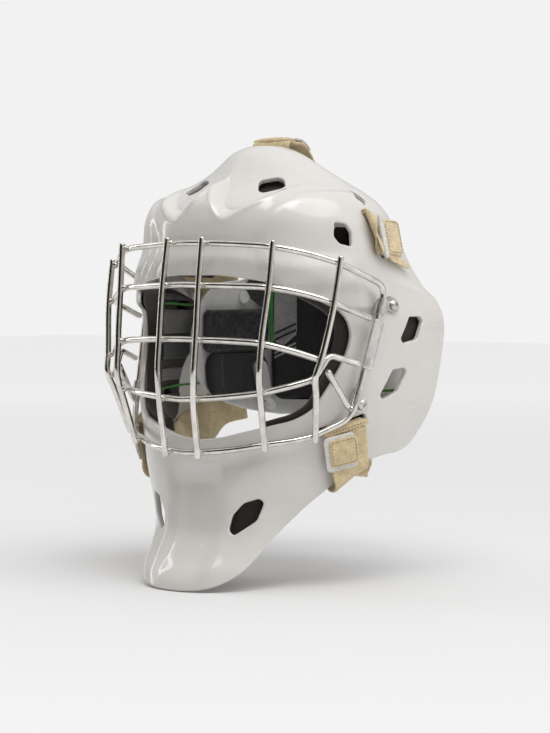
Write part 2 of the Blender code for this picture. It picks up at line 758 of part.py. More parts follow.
def make_screw(label, origin, axis):
    seat = GAP + CLIP_SHEET + GAP
    head, shank = SCREW_HEAD_RADIUS, SCREW_SHANK_RADIUS
    profile = [(0, seat + 2.5), (head * 0.5, seat + 2.3), (head * 0.86, seat + 1.5),
               (head, seat + 0.5), (head, seat), (shank, seat),
               (shank, seat - SCREW_LENGTH), (0, seat - SCREW_LENGTH)]
    mesh = turned_mesh("cage_screw_" + label, profile, 16, origin, axis)
    add_part("cage_screw_" + label, mesh, "hardware_steel")
    top = -SHELL_THICKNESS - 4 * GAP
    nut = [(NUT_BORE_RADIUS, -1.0), (NUT_BARREL_RADIUS, -1.0), (NUT_BARREL_RADIUS, top),
           (NUT_FLANGE_RADIUS, top), (NUT_FLANGE_RADIUS, top - 1.1),
           (NUT_BORE_RADIUS, top - 1.1), (NUT_BORE_RADIUS, -1.0)]
    mesh = turned_mesh("cage_nut_" + label, nut, 16, origin, axis)
    add_part("cage_nut_" + label, mesh, "hardware_steel")


# ---------------------------------------------------------------- liner
def shell_patch(name, angles, heights, depth, thickness, columns, rows, finish="liner_foam"):
    """A pad that follows the inside of the shell."""
    low, high = (shell_level(height) for height in heights)
    grid = []
    for i in range(rows + 1):
        level = low + (high - low) * i / rows
        grid.append([
            shell_depth_point(math.radians(angles[0] + (angles[1] - angles[0]) * j / columns),
                              level, depth)
            for j in range(columns + 1)
        ])
    mesh = sheet_mesh(name, grid)
    face_away(mesh, (0, 0, (heights[0] + heights[1]) / 2))
    pad = add_part(name, mesh, finish, 60)
    solidify(pad, thickness)
    return pad


def make_liner():
    shell_patch("forehead_pad", (-60, 60), (72, 98), LINER_DEPTH + 1, 11, 18, 3)
    shell_patch("crown_pad", (-60, 60), (116, 154), 8, 13, 14, 5)
    shell_patch("chin_pad", (-42, 42), (-124, -86), LINER_DEPTH + 2, 6, 12, 4)
    around_face = add_cutter("cut_liner_opening", face_cutter("cut_liner_opening", 0.6))
    for side, sign in (("left", 1), ("right", -1)):
        shell_patch("temple_pad_" + side, (sign * 66, sign * 104), (70, 108), 14, 8, 7, 4)
        name = "side_liner_" + side
        liner = shell_patch(name, (sign * 26, sign * 118), (-56, 60), LINER_DEPTH, 10, 14, 9)
        mesh = prism_mesh("cut_" + name, SIDE_LINER_OUTLINE, (sign * 75, 0, 0),
                          (0, 1, 0), (0, 0, 1), 60)
        subtract(liner, add_cutter("cut_" + name, mesh), "INTERSECT")
        subtract(liner, around_face)
        for clip, (place, _) in CLIPS.items():
            point, normal = side_frame(*place)
            pocket = turned_mesh("cut_nut_pocket", [(0, 0), (7, 0), (7, -7), (0, -7)], 12,
                                 for_side(point, side), for_side(normal, side))
            subtract(liner, add_cutter("cut_nut_pocket_" + clip + "_" + side, pocket))


# ---------------------------------------------------------------- backplate
def plate_rows(heights, columns):
    rows = []
    for height in heights:
        edge = PLATE_EDGE_TABLE.read(height)[0]
        rows.append([
            plate_point(math.radians(-edge + 2 * edge * j / columns), height)
            for j in range(columns + 1)
        ])
    return rows


def plate_pad(name, angles, heights, thickness, columns=8, rows=6):
    low, high = heights
    depth = PLATE_THICKNESS + 4 * GAP
    grid = []
    for i in range(rows + 1):
        height = low + (high - low) * i / rows
        edge = PLATE_EDGE_TABLE.read(height)[0] - 6
        first, last = (math.copysign(min(abs(angle), edge), angle) for angle in angles)
        grid.append([
            plate_point(math.radians(first + (last - first) * j / columns), height, depth)
            for j in range(columns + 1)
        ])
    mesh = sheet_mesh(name, grid)
    face_away(mesh, (0, PLATE_MIDDLE, (low + high) / 2))
    pad = add_part(name, mesh, "pad_foam", 60)
    solidify(pad, thickness)
    return pad


def make_backplate():
    heights = [-42, -38, -32, -22, -10, 5, 20, 35, 48, 57, 63, 68, 76, 88, 102, 115, 124, 130]
    rows = plate_rows(heights, 26)
    mesh = sheet_mesh("backplate", rows)
    face_away(mesh, (0, PLATE_MIDDLE, 0))
    plate = add_part("backplate", mesh, "backplate_plastic", 60)
    solidify(plate, PLATE_THICKNESS)
    plate_pad("backplate_pad_centre", (-46, 46), (-32, 72), 8, 16, 8)
    for side, sign in (("left", 1), ("right", -1)):
        angles = (51, 98) if sign > 0 else (-98, -51)
        pad = plate_pad("backplate_pad_" + side, angles, (-26, 42), 6.5)
        slot = prism_mesh("cut_pad_slot", slot_outline(32, 11), (sign * 74, 70, -12),
                          (-sign * 0.1, 0.16, 1), (sign * 0.55, -0.83, 0.15), 22)
        subtract(pad, add_cutter("cut_pad_slot_" + side, slot))


# ---------------------------------------------------------------- straps
def ribbon_mesh(name, stations, width, side="left"):
    """A flat band through stations of centre and width direction."""
    rows = []
    for centre, run in stations:
        run = Vector(run).normalized() * width / 2
        rows.append([for_side(Vector(centre) - run, side), for_side(Vector(centre) + run, side)])
    return sheet_mesh(name, rows)


def smooth_stations(stations, count):
    """A band's stations made denser along smooth curves."""
    centres = smooth_path([centre for centre, _ in stations], count)
    knots = [i / (len(stations) - 1) for i in range(len(stations))]
    runs = SmoothTable(knots, [list(column) for column in zip(*[run for _, run in stations])])
    return [(centre, runs.read(i / (count - 1))) for i, centre in enumerate(centres)]


def upper_strap():
    """Stations of the left upper strap, from the backplate out through its slot."""
    centre, run, normal = slot_frame("upper")
    return [
        ((89.5, 48, 54), (0.1, 0.40, -0.9)),
        ((92.0, 33, 67), (0.15, 0.42, -0.9)),
        (on_side(16, 82, -8), (0.2, 0.42, -0.88)),
        (on_side(2, 92, -9), run),
        (centre - normal * 6, run),
        (centre + normal * 2, run),
    ]


def lower_strap():
    """Stations of the left lower strap, from the backplate round the hem to its slot."""
    centre, run, normal = slot_frame("lower")
    return [
        ((80.9, 64, -30), (0.0, 0.0, 1.0)),
        ((87.0, 43, -34), (0.05, 0.1, 1.0)),
        ((87.5, 22, -46), (0.15, 0.55, 0.8)),
        (on_side(2, -58, -12), (0.25, 0.7, 0.65)),
        (on_side(-20, -67.5, -12), HEM_RUN),
        (on_side(-27.5, -78.4, -3), HEM_RUN),
        (on_side(-31, -74, 5), HEM_RUN),
        (on_side(-34.5, -63, 4.5), (0.38, 0.8, 0.45)),
        (on_side(-38, -50, 3.8), run),
        (centre + normal * 2.2, run),
        (centre - normal * 2.2, run),
    ]


TOP_STRAP = [
    ((0, 81.5, 121), (1, 0, 0)),
    ((0, 75, 132), (1, 0, 0)),
    ((0, 62, 137.5), (1, 0, 0)),
    ((0, 47, 142.5), (1, 0, 0)),
    ((0, 34, 148), (1, 0, 0)),
    ((0, 26, 154.5), (1, 0, 0)),
    ((0, 20, 161.5), (1, 0, 0)),
    ((0, 13.5, 166.2), (1, 0, 0)),
    ((0, 5, 166.6), (1, 0, 0)),
    ((0, -4, 166.8), (1, 0, 0)),
    ((0, TOP_SLOT_Y - 0.4, 163), (1, 0, 0)),
    ((0, TOP_SLOT_Y + 0.4, 159), (1, 0, 0)),
]


def make_strap(name, stations, side, count, width=STRAP_WIDTH):
    mesh = ribbon_mesh(name, smooth_stations(stations, count), width, side)
    strap = add_part(name, mesh, "strap_elastic", 60)
    solidify(strap, STRAP_THICKNESS, 0.0)


def tab_frame(name):
    """Hinge point, hinge direction, outward normal and length direction of a side tab."""
    tab = SIDE_TABS[name]
    hinge, end = on_side(*tab.hinge, tab.lift), on_side(*tab.end, tab.lift)
    along = (end - hinge).normalized()
    run = Vector(tab.across)
    run = (run - along * run.dot(along)).normalized()
    normal = run.cross(along)
    return hinge, run, normal * math.copysign(1, normal.x), along


def add_tab(name, rows, origin):
    """A tab with its origin on its peel hinge."""
    mesh = sheet_mesh(name, rows)
    mesh.transform(Matrix.Translation(-origin * MM))
    tab = add_part(name, mesh, "tab_webbing")
    tab.location = origin * MM
    solidify(tab, TAB_THICKNESS, 0.0)


def make_tabs():
    steps = 4
    for name, tab in SIDE_TABS.items():
        hinge, run, _, along = tab_frame(name)
        length = (on_side(*tab.end, tab.lift) - hinge).length
        for side in ("left", "right"):
            rows = []
            for i in range(steps + 1):
                centre = hinge + along * (length * i / steps)
                edges = (centre + run * (s * tab.width / 2) for s in (-1, 1))
                rows.append([for_side(edge, side) for edge in edges])
            add_tab("strap_tab_" + name + "_" + side, rows, for_side(hinge, side))
    half = STRAP_WIDTH / 2
    rows = [[(x, y, z) for x in (-half, half)] for y, z in TOP_TAB_LINE]
    add_tab("strap_tab_top", rows, Vector((0, *TOP_TAB_LINE[0])))


def make_rivets():
    places = {"top": (0, 118), "upper": (67, 52), "lower": (52, -34)}
    for name, (angle, height) in places.items():
        for side in ("left", "right") if angle else ("",):
            sign = -1 if side == "right" else 1
            outer = plate_point(math.radians(sign * angle), height)
            axis = plate_normal(math.radians(sign * angle), height)
            face = -PLATE_THICKNESS - 5 * GAP
            profile = [(0, face), (RIVET_RADIUS, face), (RIVET_RADIUS, face - 0.7),
                       (RIVET_RADIUS * 0.8, face - 1.2), (0, face - 1.2)]
            label = "backplate_rivet_" + name + ("_" + side if side else "")
            mesh = turned_mesh(label, profile, 16, outer, axis)
            add_part(label, mesh, "backplate_plastic")


def main():
    global PARTS, CUTTERS
    clear_scene()
    PARTS = new_collection("goalie_mask")
    CUTTERS = new_collection("goalie_mask_cutters")
    make_shell()
    make_cage()
    make_clips()
    make_liner()
    make_backplate()
    make_rivets()
    plate_group = [item for item in PARTS.objects if item.name.startswith("backplate")]
    hang_from_hinge("backplate_swing_axis", PLATE_HINGE, plate_group)
    make_strap("strap_top", TOP_STRAP, "left", 26)
    for side in ("left", "right"):
        make_strap("strap_upper_" + side, upper_strap(), side, 12)
        make_strap("strap_lower_" + side, lower_strap(), side, 22, LOWER_STRAP_WIDTH)
    make_tabs()


main()
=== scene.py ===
"""Looks of the goalie mask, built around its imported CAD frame.

Lengths are in millimetres until a mesh is made, as in the CAD source, and MM scales them once.
The mask faces -Y, +X is the wearer's left, and +Z is up.
"""
import math

import bmesh
import bpy
import numpy as np
from mathutils import Matrix, Vector, noise
from mathutils.geometry import delaunay_2d_cdt


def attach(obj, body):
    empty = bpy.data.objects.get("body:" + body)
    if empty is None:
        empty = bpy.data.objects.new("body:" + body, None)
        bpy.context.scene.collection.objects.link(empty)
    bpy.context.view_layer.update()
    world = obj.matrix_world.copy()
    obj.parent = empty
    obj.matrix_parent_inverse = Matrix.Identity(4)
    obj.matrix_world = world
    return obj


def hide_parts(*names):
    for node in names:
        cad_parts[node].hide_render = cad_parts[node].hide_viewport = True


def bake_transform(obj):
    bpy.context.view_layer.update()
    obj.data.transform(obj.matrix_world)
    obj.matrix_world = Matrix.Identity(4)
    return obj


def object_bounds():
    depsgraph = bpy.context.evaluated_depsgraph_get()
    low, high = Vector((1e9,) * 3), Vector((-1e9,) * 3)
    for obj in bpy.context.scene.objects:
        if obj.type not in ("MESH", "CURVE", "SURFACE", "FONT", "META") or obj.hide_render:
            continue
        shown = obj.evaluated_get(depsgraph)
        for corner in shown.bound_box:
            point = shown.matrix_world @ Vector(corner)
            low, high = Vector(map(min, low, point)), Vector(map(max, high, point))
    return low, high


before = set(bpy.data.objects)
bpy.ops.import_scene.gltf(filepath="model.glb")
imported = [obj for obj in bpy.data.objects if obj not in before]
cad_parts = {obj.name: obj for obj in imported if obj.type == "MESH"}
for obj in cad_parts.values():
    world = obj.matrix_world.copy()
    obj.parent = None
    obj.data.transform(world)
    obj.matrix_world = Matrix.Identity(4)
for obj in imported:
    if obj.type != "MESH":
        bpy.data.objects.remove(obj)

CAD_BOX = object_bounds()
MM = 0.001
SHELL_BODY = "shell_and_cage"
PLATE_BODY = "backplate_unit"
FAR = 1e3
FIELD_REACH = 9.0
FLIP = np.array([-1.0, 1.0, 1.0])

# ---------------------------------------------------------------- sizes, as in the CAD
SHELL_THICKNESS = 4.0
# height, front, half width, middle, reach, squareness
SHELL_SECTIONS = [
    (-166, -122, 60, -50, 70, 2.15),
    (-154, -121, 63, -42, 75, 2.15),
    (-142, -117, 66, -34, 80, 2.15),
    (-129, -108, 68, -26, 85, 2.15),
    (-115, -99, 71, -20, 90, 2.15),
    (-100, -96, 78, -12, 95, 2.15),
    (-84, -94, 88, 0, 100, 2.20),
    (-68, -92, 97, 10, 110, 2.25),
    (-50, -89, 102, 14, 115, 2.35),
    (-25, -89, 106, 20, 120, 2.45),
    (5, -89, 108, 26, 120, 2.50),
    (35, -90, 109, 28, 115, 2.50),
    (58, -91, 104, 18, 95, 2.40),
    (75, -91, 100, 10, 80, 2.25),
    (92, -90, 97, 5, 70, 2.20),
    (108, -90, 93, 2, 60, 2.20),
    (119, -87, 87, 0, 53, 2.15),
    (128, -78, 76, -1, 46, 2.10),
    (136, -66, 62, -2, 40, 2.05),
    (144, -55, 50, -4, 33, 2.00),
    (152, -45, 38, -6, 26, 2.00),
    (159, -35, 26, -8, 19, 2.00),
    (163.2, -24, 14, -9, 11, 2.00),
    (164.5, -10.1, 0.1, -10, 0.1, 2.00),
]
REAR_EDGE = [
    (12, 172), (15, 156), (20, 140), (27, 122), (33, 105), (37, 90), (42, 76), (48, 64),
    (56, 53), (61, 42), (61, 20), (57, -5), (50, -28), (41, -45), (31, -56), (20, -60),
    (0, -62), (-17, -66), (-34, -77), (-50, -92), (-66, -111), (-84, -130), (-102, -145),
    (-114, -152), (-128, -156),
]
FACE_OPENING_HALF = [
    (0, 67.5), (20, 67.5), (40, 65.5), (60, 62), (76, 56.5), (88, 48.5), (95.5, 39),
    (98, 28), (96.5, 14), (92, -2), (86, -17), (80.5, -27), (71, -34), (58, -38),
    (38, -43), (18, -47.5), (0, -49.5),
]
SIDE_VENTS = {
    "temple": [(-43.5, 105), (-35, 104), (-31.5, 98), (-32.5, 88), (-41.5, 90), (-45, 95)],
    "rear_top": [(-7, 129.2), (-3, 128.6), (-1.8, 122.5), (-8.6, 117.8), (-13, 120.2), (-14.3, 123.6)],
    "ear_upper": [(17, 38), (29, 38), (31.5, 35), (25, 21.5), (10, 19), (7.5, 22.5)],
    "ear_lower": [(1, 0), (13, 1), (15, -2), (6, -16), (-8, -21), (-11.5, -18)],
}
CHIN_VENT = [
    (49, -90), (51.5, -93), (47, -106), (34, -116), (30, -112), (32, -102), (39, -93.5),
]
TOP_VENT = [(24, -50), (25, -47.5), (35, -40), (39.5, -40),
            (45.5, -46.5), (45, -51), (34.5, -58), (29, -56.5)]
SLOTS = {"upper": ((-7.5, 97.5), (0.25, 0.42, -0.87)), "lower": ((-41, -38), (0.47, 0.84, 0.27))}
SLOT_LENGTH = 38.0
SLOT_WIDTH = 5.0
TOP_SLOT_Y = -5.0
SCREW_HOLE_RADIUS = 3.5
CLIPS = {"upper": ((0.0, 46.0), 45.0), "lower": ((-29.0, -24.0), -18.0)}

# ---------------------------------------------------------------- smooth tables and surfaces
class SmoothTable:
    """Columns of numbers read smoothly between their rows, for whole arrays of positions."""

    def __init__(self, knots, columns):
        self.knots = np.array(knots, float)
        self.columns = np.array(columns, float)
        steps = np.diff(self.knots)
        rates = np.diff(self.columns, axis=1) / steps
        inner = steps[1:] * rates[:, :-1] + steps[:-1] * rates[:, 1:]
        inner = inner / (steps[1:] + steps[:-1])
        self.slopes = np.concatenate([rates[:, :1], inner, rates[:, -1:]], axis=1)

    def read(self, position):
        position = np.clip(position, self.knots[0], self.knots[-1])
        row = np.clip(np.searchsorted(self.knots, position) - 1, 0, len(self.knots) - 2)
        step = self.knots[row + 1] - self.knots[row]
        s = (position - self.knots[row]) / step
        start, end = 2 * s**3 - 3 * s**2 + 1, -2 * s**3 + 3 * s**2
        leave, arrive = (s**3 - 2 * s**2 + s) * step, (s**3 - s**2) * step
        return (
            start * self.columns[:, row] + leave * self.slopes[:, row]
            + end * self.columns[:, row + 1] + arrive * self.slopes[:, row + 1]
        )


def smooth_path(points, count):
    """A smooth curve through points, as count evenly parted points."""
    points = np.array(points, float)
    knots = np.concatenate([[0], np.cumsum(np.linalg.norm(np.diff(points, axis=0), axis=1))])
    return SmoothTable(knots, points.T).read(np.linspace(0, knots[-1], count)).T


def round_corners(points, radius, steps=5, closed=False):
    """A line whose corners are replaced with smooth bends."""
    points = [np.array(point, float) for point in points]
    made = []
    for i, corner in enumerate(points):
        if not closed and i in (0, len(points) - 1):
            made.append(corner)
            continue
        before, after = points[i - 1] - corner, points[(i + 1) % len(points)] - corner
        reach = min(radius, 0.45 * np.linalg.norm(before), 0.45 * np.linalg.norm(after))
        start = corner + before / np.linalg.norm(before) * reach
        end = corner + after / np.linalg.norm(after) * reach
        for s in np.linspace(0, 1, steps + 1):
            made.append(start * (1 - s) ** 2 + corner * 2 * s * (1 - s) + end * s**2)
    return np.array(made)


def smoothstep(low, high, value):
    s = np.clip((value - low) / (high - low), 0.0, 1.0)
    return s * s * (3 - 2 * s)


def smooth_least(a, b, softness):
    """The lesser of two distances, with a soft corner where they meet."""
    return -softness * np.logaddexp(-a / softness, -b / softness)


SECTION_COLUMNS = np.array(SHELL_SECTIONS, float).T
SHELL_KNOTS = np.concatenate(
    [[0], np.cumsum(np.hypot(np.diff(SECTION_COLUMNS[0]), np.diff(SECTION_COLUMNS[2])))]
)
SHELL_TABLE = SmoothTable(SHELL_KNOTS, SECTION_COLUMNS)
SHELL_TOP = SHELL_KNOTS[-1]


def plain_shell(angle, level):
    """Shell surface before sculpting: angle from straight ahead, level along the profile."""
    angle, level = np.broadcast_arrays(angle, level)
    height, front, half_width, middle, reach, squareness = SHELL_TABLE.read(level)
    side, ahead = np.sin(angle), np.cos(angle)
    depth = np.maximum(np.where(ahead > 0, middle - front, reach), 0.1)
    half_width = np.maximum(half_width, 0.1)
    radius = (np.abs(side) / half_width) ** squareness + (np.abs(ahead) / depth) ** squareness
    radius = radius ** (-1 / squareness)
    return np.stack([radius * side, middle - radius * ahead, height], -1)


def scoop_relief(across, z):
    """The teardrop hollow beside the crown ridge, with the lip along its lower edge."""
    from_side = (across - 8) * 0.82 + (z - 127) * 0.58 - 0.6
    from_below = (z - 114) * 0.82 - (across - 30) * 0.57 - 0.6
    inside = smooth_least(from_side, from_below, 4.5) + 2.6
    away = np.hypot((across - 20) * 0.85, (z - 122) * 0.9)
    strength = 1 - smoothstep(12, 38, away)
    hollow = -7.5 * smoothstep(-0.8, 6.0, inside) * strength
    lip = 1.2 * np.exp(-((inside + 2.0) / 1.7) ** 2) * strength
    return hollow + lip


def sculpt(point):
    """How far the sculpted surface stands out of the plain one."""
    across, y, z = np.abs(point[..., 0]), point[..., 1], point[..., 2]
    height = scoop_relief(across, z) * smoothstep(20, -25, y)
    panel = np.abs((y + 20) / 60) ** 3 + np.abs((z - 85) / 42) ** 3
    height = height + 2.6 * smoothstep(1.16, 0.86, panel) * smoothstep(6, -22, y)
    height = height + 3.0 * smoothstep(88, 70, z) * smoothstep(54, 62, z) * smoothstep(-20, -45, y)
    crease = z - (71 - 0.28 * y)
    ear = smoothstep(3, -7, crease) * smoothstep(-8, 44, y) * smoothstep(-60, -20, z)
    height = height + 3.6 * ear
    groove = smoothstep(27, 15, across) * smoothstep(-62, -82, z) * smoothstep(-154, -132, z)
    return height - 2.6 * groove * smoothstep(-40, -60, y)


def surface_frame(surface, angle, level, step=(0.002, 0.3)):
    """Outward normals of a surface, from two small steps along it."""
    along = surface(angle + step[0], level) - surface(angle - step[0], level)
    up = surface(angle, level + step[1]) - surface(angle, level - step[1])
    normal = np.cross(along, up)
    return normal / np.maximum(np.linalg.norm(normal, axis=-1, keepdims=True), 1e-12)


def shell_surface(angle, level, depth=0.0):
    """The sculpted shell, or a surface at a depth below it."""
    point = plain_shell(angle, level)
    near = np.clip(level, 0.3, SHELL_TOP - 0.6)
    normal = surface_frame(plain_shell, angle, near)
    lift = sculpt(point) - depth
    return point + normal * np.asarray(lift)[..., None]


def shell_normal(angle, level):
    near = np.clip(level, 0.5, SHELL_TOP - 0.9)
    return surface_frame(shell_surface, angle, near, (0.004, 0.5))


def shell_level(height):
    """The level whose section lies at a height."""
    levels = np.linspace(0, SHELL_TOP, 4000)
    return np.interp(height, SHELL_TABLE.read(levels)[0], levels)


def side_frame(y, z):
    """A point on the left side of the shell, with its outward normal."""
    level = shell_level(z)
    angles = np.linspace(0.02, math.pi - 0.02, 3000)
    angle = np.interp(y, plain_shell(angles, level)[:, 1], angles)
    point, normal = shell_surface(angle, level), surface_frame(plain_shell, angle, level)
    return point, normal


def on_side(y, z, lift):
    """A point above the left side of the shell, or below it where lift is negative."""
    point, normal = side_frame(y, z)
    return point + normal * lift


def slot_frame(name):
    """Centre, run and outward normal of a strap slot on the left side."""
    place, run = SLOTS[name]
    centre, normal = side_frame(*place)
    run = np.array(run) - normal * np.dot(run, normal)
    return centre, run / np.linalg.norm(run), normal


def for_side(vector, side):
    """A vector on the left side, or its mirror image on the right."""
    sign = 1 if side == "left" else -1
    return np.asarray(vector, float) * np.array([sign, 1, 1])


# ---------------------------------------------------------------- outlines on a surface
def polygon_distance(points, polygon):
    """Distance of flat points from a closed outline, negative inside."""
    start = np.asarray(polygon, float)
    end = np.roll(start, -1, axis=0)
    best = np.full(len(points), FAR)
    inside = np.zeros(len(points), bool)
    for a, b in zip(start, end):
        along = b - a
        share = np.clip(((points - a) @ along) / max(along @ along, 1e-12), 0, 1)
        best = np.minimum(best, np.linalg.norm(points - a - share[:, None] * along, axis=1))
        crosses = (a[1] > points[:, 1]) != (b[1] > points[:, 1])
        rise = b[1] - a[1] if b[1] != a[1] else 1e-12
        inside ^= crosses & (points[:, 0] < a[0] + (points[:, 1] - a[1]) * (b[0] - a[0]) / rise)
    return np.where(inside, -best, best)


def outline_field(outline, axes, where=None):
    """A field for an opening whose outline is seen along one axis: positive in the material."""
    outline = np.asarray(outline, float)
    low, high = outline.min(0) - FIELD_REACH, outline.max(0) + FIELD_REACH

    def field(places, points):
        flat = points[:, axes]
        near = np.all((flat > low) & (flat < high), axis=1)
        if where is not None:
            near &= where(points)
        value = np.full(len(points), FIELD_REACH)
        if near.any():
            value[near] = polygon_distance(flat[near], outline)
        return value

    return field


def slot_field(centre, run, normal, length, width):
    """A field for a slot with round corners through the left side of the mask."""
    across = np.cross(run, normal)
    corner = width * 0.4

    def field(places, points):
        local = points - centre
        u = np.abs(local @ run) - length / 2 + corner
        v = np.abs(local @ across) - width / 2 + corner
        value = np.hypot(np.maximum(u, 0), np.maximum(v, 0)) + np.minimum(np.maximum(u, v), 0)
        far = np.linalg.norm(local, axis=1) > length / 2 + FIELD_REACH
        return np.where(far, FIELD_REACH, value - corner)

    return field


def box_field(middle, half, corner, scale):
    """A field that keeps a rounded box in (angle, level), whose angles are scaled to millimetres."""

    def field(places, points):
        u = np.abs(places[:, 0] - middle[0]) * scale - half[0] + corner
        v = np.abs(places[:, 1] - middle[1]) - half[1] + corner
        value = np.hypot(np.maximum(u, 0), np.maximum(v, 0)) + np.minimum(np.maximum(u, v), 0)
        return corner - value

    return field


# ---------------------------------------------------------------- trimmed solids
def edge_distance(surface, field, places, step=(0.002, 0.2)):
    """Distance from an edge along a surface, and the direction on the surface away from it."""
    def read(angle, level):
        points = surface(angle, level)
        return points, field(np.stack([angle, level], -1), points)

    angle, level = places[:, 0], places[:, 1]
    _, value = read(angle, level)
    ahead, up = read(angle + step[0], level), read(angle, level + step[1])
    back, down = read(angle - step[0], level), read(angle, level - step[1])
    gradient, slopes = 0, []
    for (high, more), (low, less) in ((ahead, back), (up, down)):
        way = high - low
        length = np.maximum(np.linalg.norm(way, axis=1), 1e-9)
        slopes.append((more - less) / length)
        gradient = gradient + way / length[:, None] * slopes[-1][:, None]
    slope = np.hypot(*slopes)
    gradient = gradient / np.maximum(np.linalg.norm(gradient, axis=1, keepdims=True), 1e-9)
    return value / np.clip(slope, 0.3, 1.0), gradient


def trace(values, angles, levels, target):
    """Contour of a grid of values, as places of (angle, level) and edges between them."""
    values = values - target
    values = np.where(np.abs(values) < 1e-7, 1e-7, values)
    found, index, edges = [], {}, []

    def crossing(i, j, m, n):
        key = (i, j, m, n)
        if key not in index:
            share = values[i, j] / (values[i, j] - values[m, n])
            share = min(max(share, 0.02), 0.98)
            index[key] = len(found)
            found.append((angles[i] + (angles[m] - angles[i]) * share,
                          levels[j] + (levels[n] - levels[j]) * share))
        return index[key]

    sign = values > 0
    mixed = (sign[:-1, :-1] ^ sign[1:, :-1]) | (sign[:-1, :-1] ^ sign[:-1, 1:])
    mixed |= sign[:-1, :-1] ^ sign[1:, 1:]
    for i, j in zip(*np.nonzero(mixed)):
        sides = ((i, j, i + 1, j), (i + 1, j, i + 1, j + 1), (i, j + 1, i + 1, j + 1),
                 (i, j, i, j + 1))
        met = [crossing(*side) for side in sides if sign[side[:2]] != sign[side[2:]]]
        edges.extend((met[k], met[k + 1]) for k in range(0, len(met) - 1, 2))
    return found, edges


def rounding(distance, radius):
    """How far a rounded edge falls away at a distance from it."""
    reach = np.maximum(radius - np.asarray(distance, float), 0)
    return radius - np.sqrt(np.maximum(radius**2 - reach**2, 0))


def window_of(surface, field, domain, reach):
    """The part of a domain in which an edge and its rounding lie."""
    angles = np.linspace(*domain[0], 90)
    levels = np.linspace(*domain[1], 110)
    grid = np.stack(np.meshgrid(angles, levels, indexing="ij"), -1).reshape(-1, 2)
    value = field(grid, surface(grid[:, 0], grid[:, 1])).reshape(90, 110)
    near = np.abs(value) < reach
    rows, columns = np.nonzero(near.any(1))[0], np.nonzero(near.any(0))[0]
    return (
        (angles[max(rows[0] - 1, 0)], angles[min(rows[-1] + 1, 89)]),
        (levels[max(columns[0] - 1, 0)], levels[min(columns[-1] + 1, 109)]),
    )


class Sheet:
    """A sheet of a surface, as a thick solid with rounded rims, before it becomes a mesh."""

    def __init__(self, surface, flatten, domain, grid, fields, depths, radii, cell=1.0):
        self.surface = surface
        self.depths = depths
        self.radii = radii
        places, drops, edges = [], [], []
        offsets = sorted({0.0, *(part * radius for part in (0.15, 0.5, 1.0) for radius in radii)})
        for field in fields:
            window = window_of(surface, field, domain, max(radii) + FIELD_REACH * 0.45)
            middle = [np.mean(side) for side in window]
            ring = surface(np.array(window[0]), np.array([middle[1]] * 2))
            rise = surface(np.array([middle[0]] * 2), np.array(window[1]))
            wide = max(np.linalg.norm(ring[1] - ring[0]), 4) * 1.25
            tall = max(np.linalg.norm(rise[1] - rise[0]), 4) * 1.15
            angles = np.linspace(*window[0], int(wide / cell) + 2)
            levels = np.linspace(*window[1], int(tall / cell) + 2)
            spots = np.stack(np.meshgrid(angles, levels, indexing="ij"), -1).reshape(-1, 2)
            values, _ = edge_distance(surface, field, spots)
            values = values.reshape(len(angles), len(levels))
            for offset in offsets:
                found, joined = trace(values, angles, levels, offset)
                edges.extend((a + len(places), b + len(places)) for a, b in joined)
                places.extend(found)
                drops.extend([offset] * len(found))
        self.fields = fields
        clear = np.min([edge_distance(surface, field, grid)[0] for field in fields], axis=0)
        kept = grid[clear > max(radii) + cell * 0.6]
        places = np.concatenate([np.array(places).reshape(-1, 2), kept])
        drops = np.concatenate([np.array(drops), np.full(len(kept), FAR)])
        flat = flatten(places[:, 0], places[:, 1])
        _, _, faces, source, _, _ = delaunay_2d_cdt(
            [Vector(point) for point in flat.tolist()], edges, [], 0, 1e-9
        )
        first = np.array([found[0] if found else -1 for found in source])
        faces = first[np.array([face for face in faces if len(face) == 3])]
        faces = faces[(faces >= 0).all(axis=1)]
        middle = places[faces].mean(axis=1)
        spots = surface(middle[:, 0], middle[:, 1])
        faces = faces[np.min([field(middle, spots) for field in fields], axis=0) > 0]
        used, faces = np.unique(faces, return_inverse=True)
        self.faces = faces.reshape(-1, 3)
        self.places = places[used]
        self.drops = drops[used]

    def shapes(self, relief=None):
        """The outer and inner faces' points."""
        angle, level = self.places.T
        fade = np.minimum(self.drops / max(self.radii), 1.0)
        extra = (0, 0) if relief is None else relief(self.surface(angle, level), self.places)
        outer_depth = self.depths[0] + rounding(self.drops, self.radii[0]) + extra[0] * fade
        inner_depth = self.depths[1] - rounding(self.drops, self.radii[1]) + extra[1] * fade
        outer = self.surface(angle, level, outer_depth)
        inner = self.surface(angle, level, inner_depth)
        return outer, inner

    def normals(self, outward):
        """Exact normals of both faces, turned over the rounded rims."""
        pull = np.zeros_like(outward)
        rim = self.drops < max(self.radii)
        distances = []
        for field in self.fields:
            distance, way = edge_distance(self.surface, field, self.places[rim])
            distances.append((distance, way))
        if rim.any():
            nearest = np.argmin([distance for distance, _ in distances], axis=0)
            ways = np.array([way for _, way in distances])
            pull[rim] = ways[nearest, np.arange(rim.sum())]
        made = []
        for radius, sign in ((self.radii[0], 1), (self.radii[1], -1)):
            lean = np.clip((radius - self.drops) / radius, 0, 1)[:, None]
            made.append(sign * outward * np.sqrt(1 - lean**2) - pull * lean)
        return made


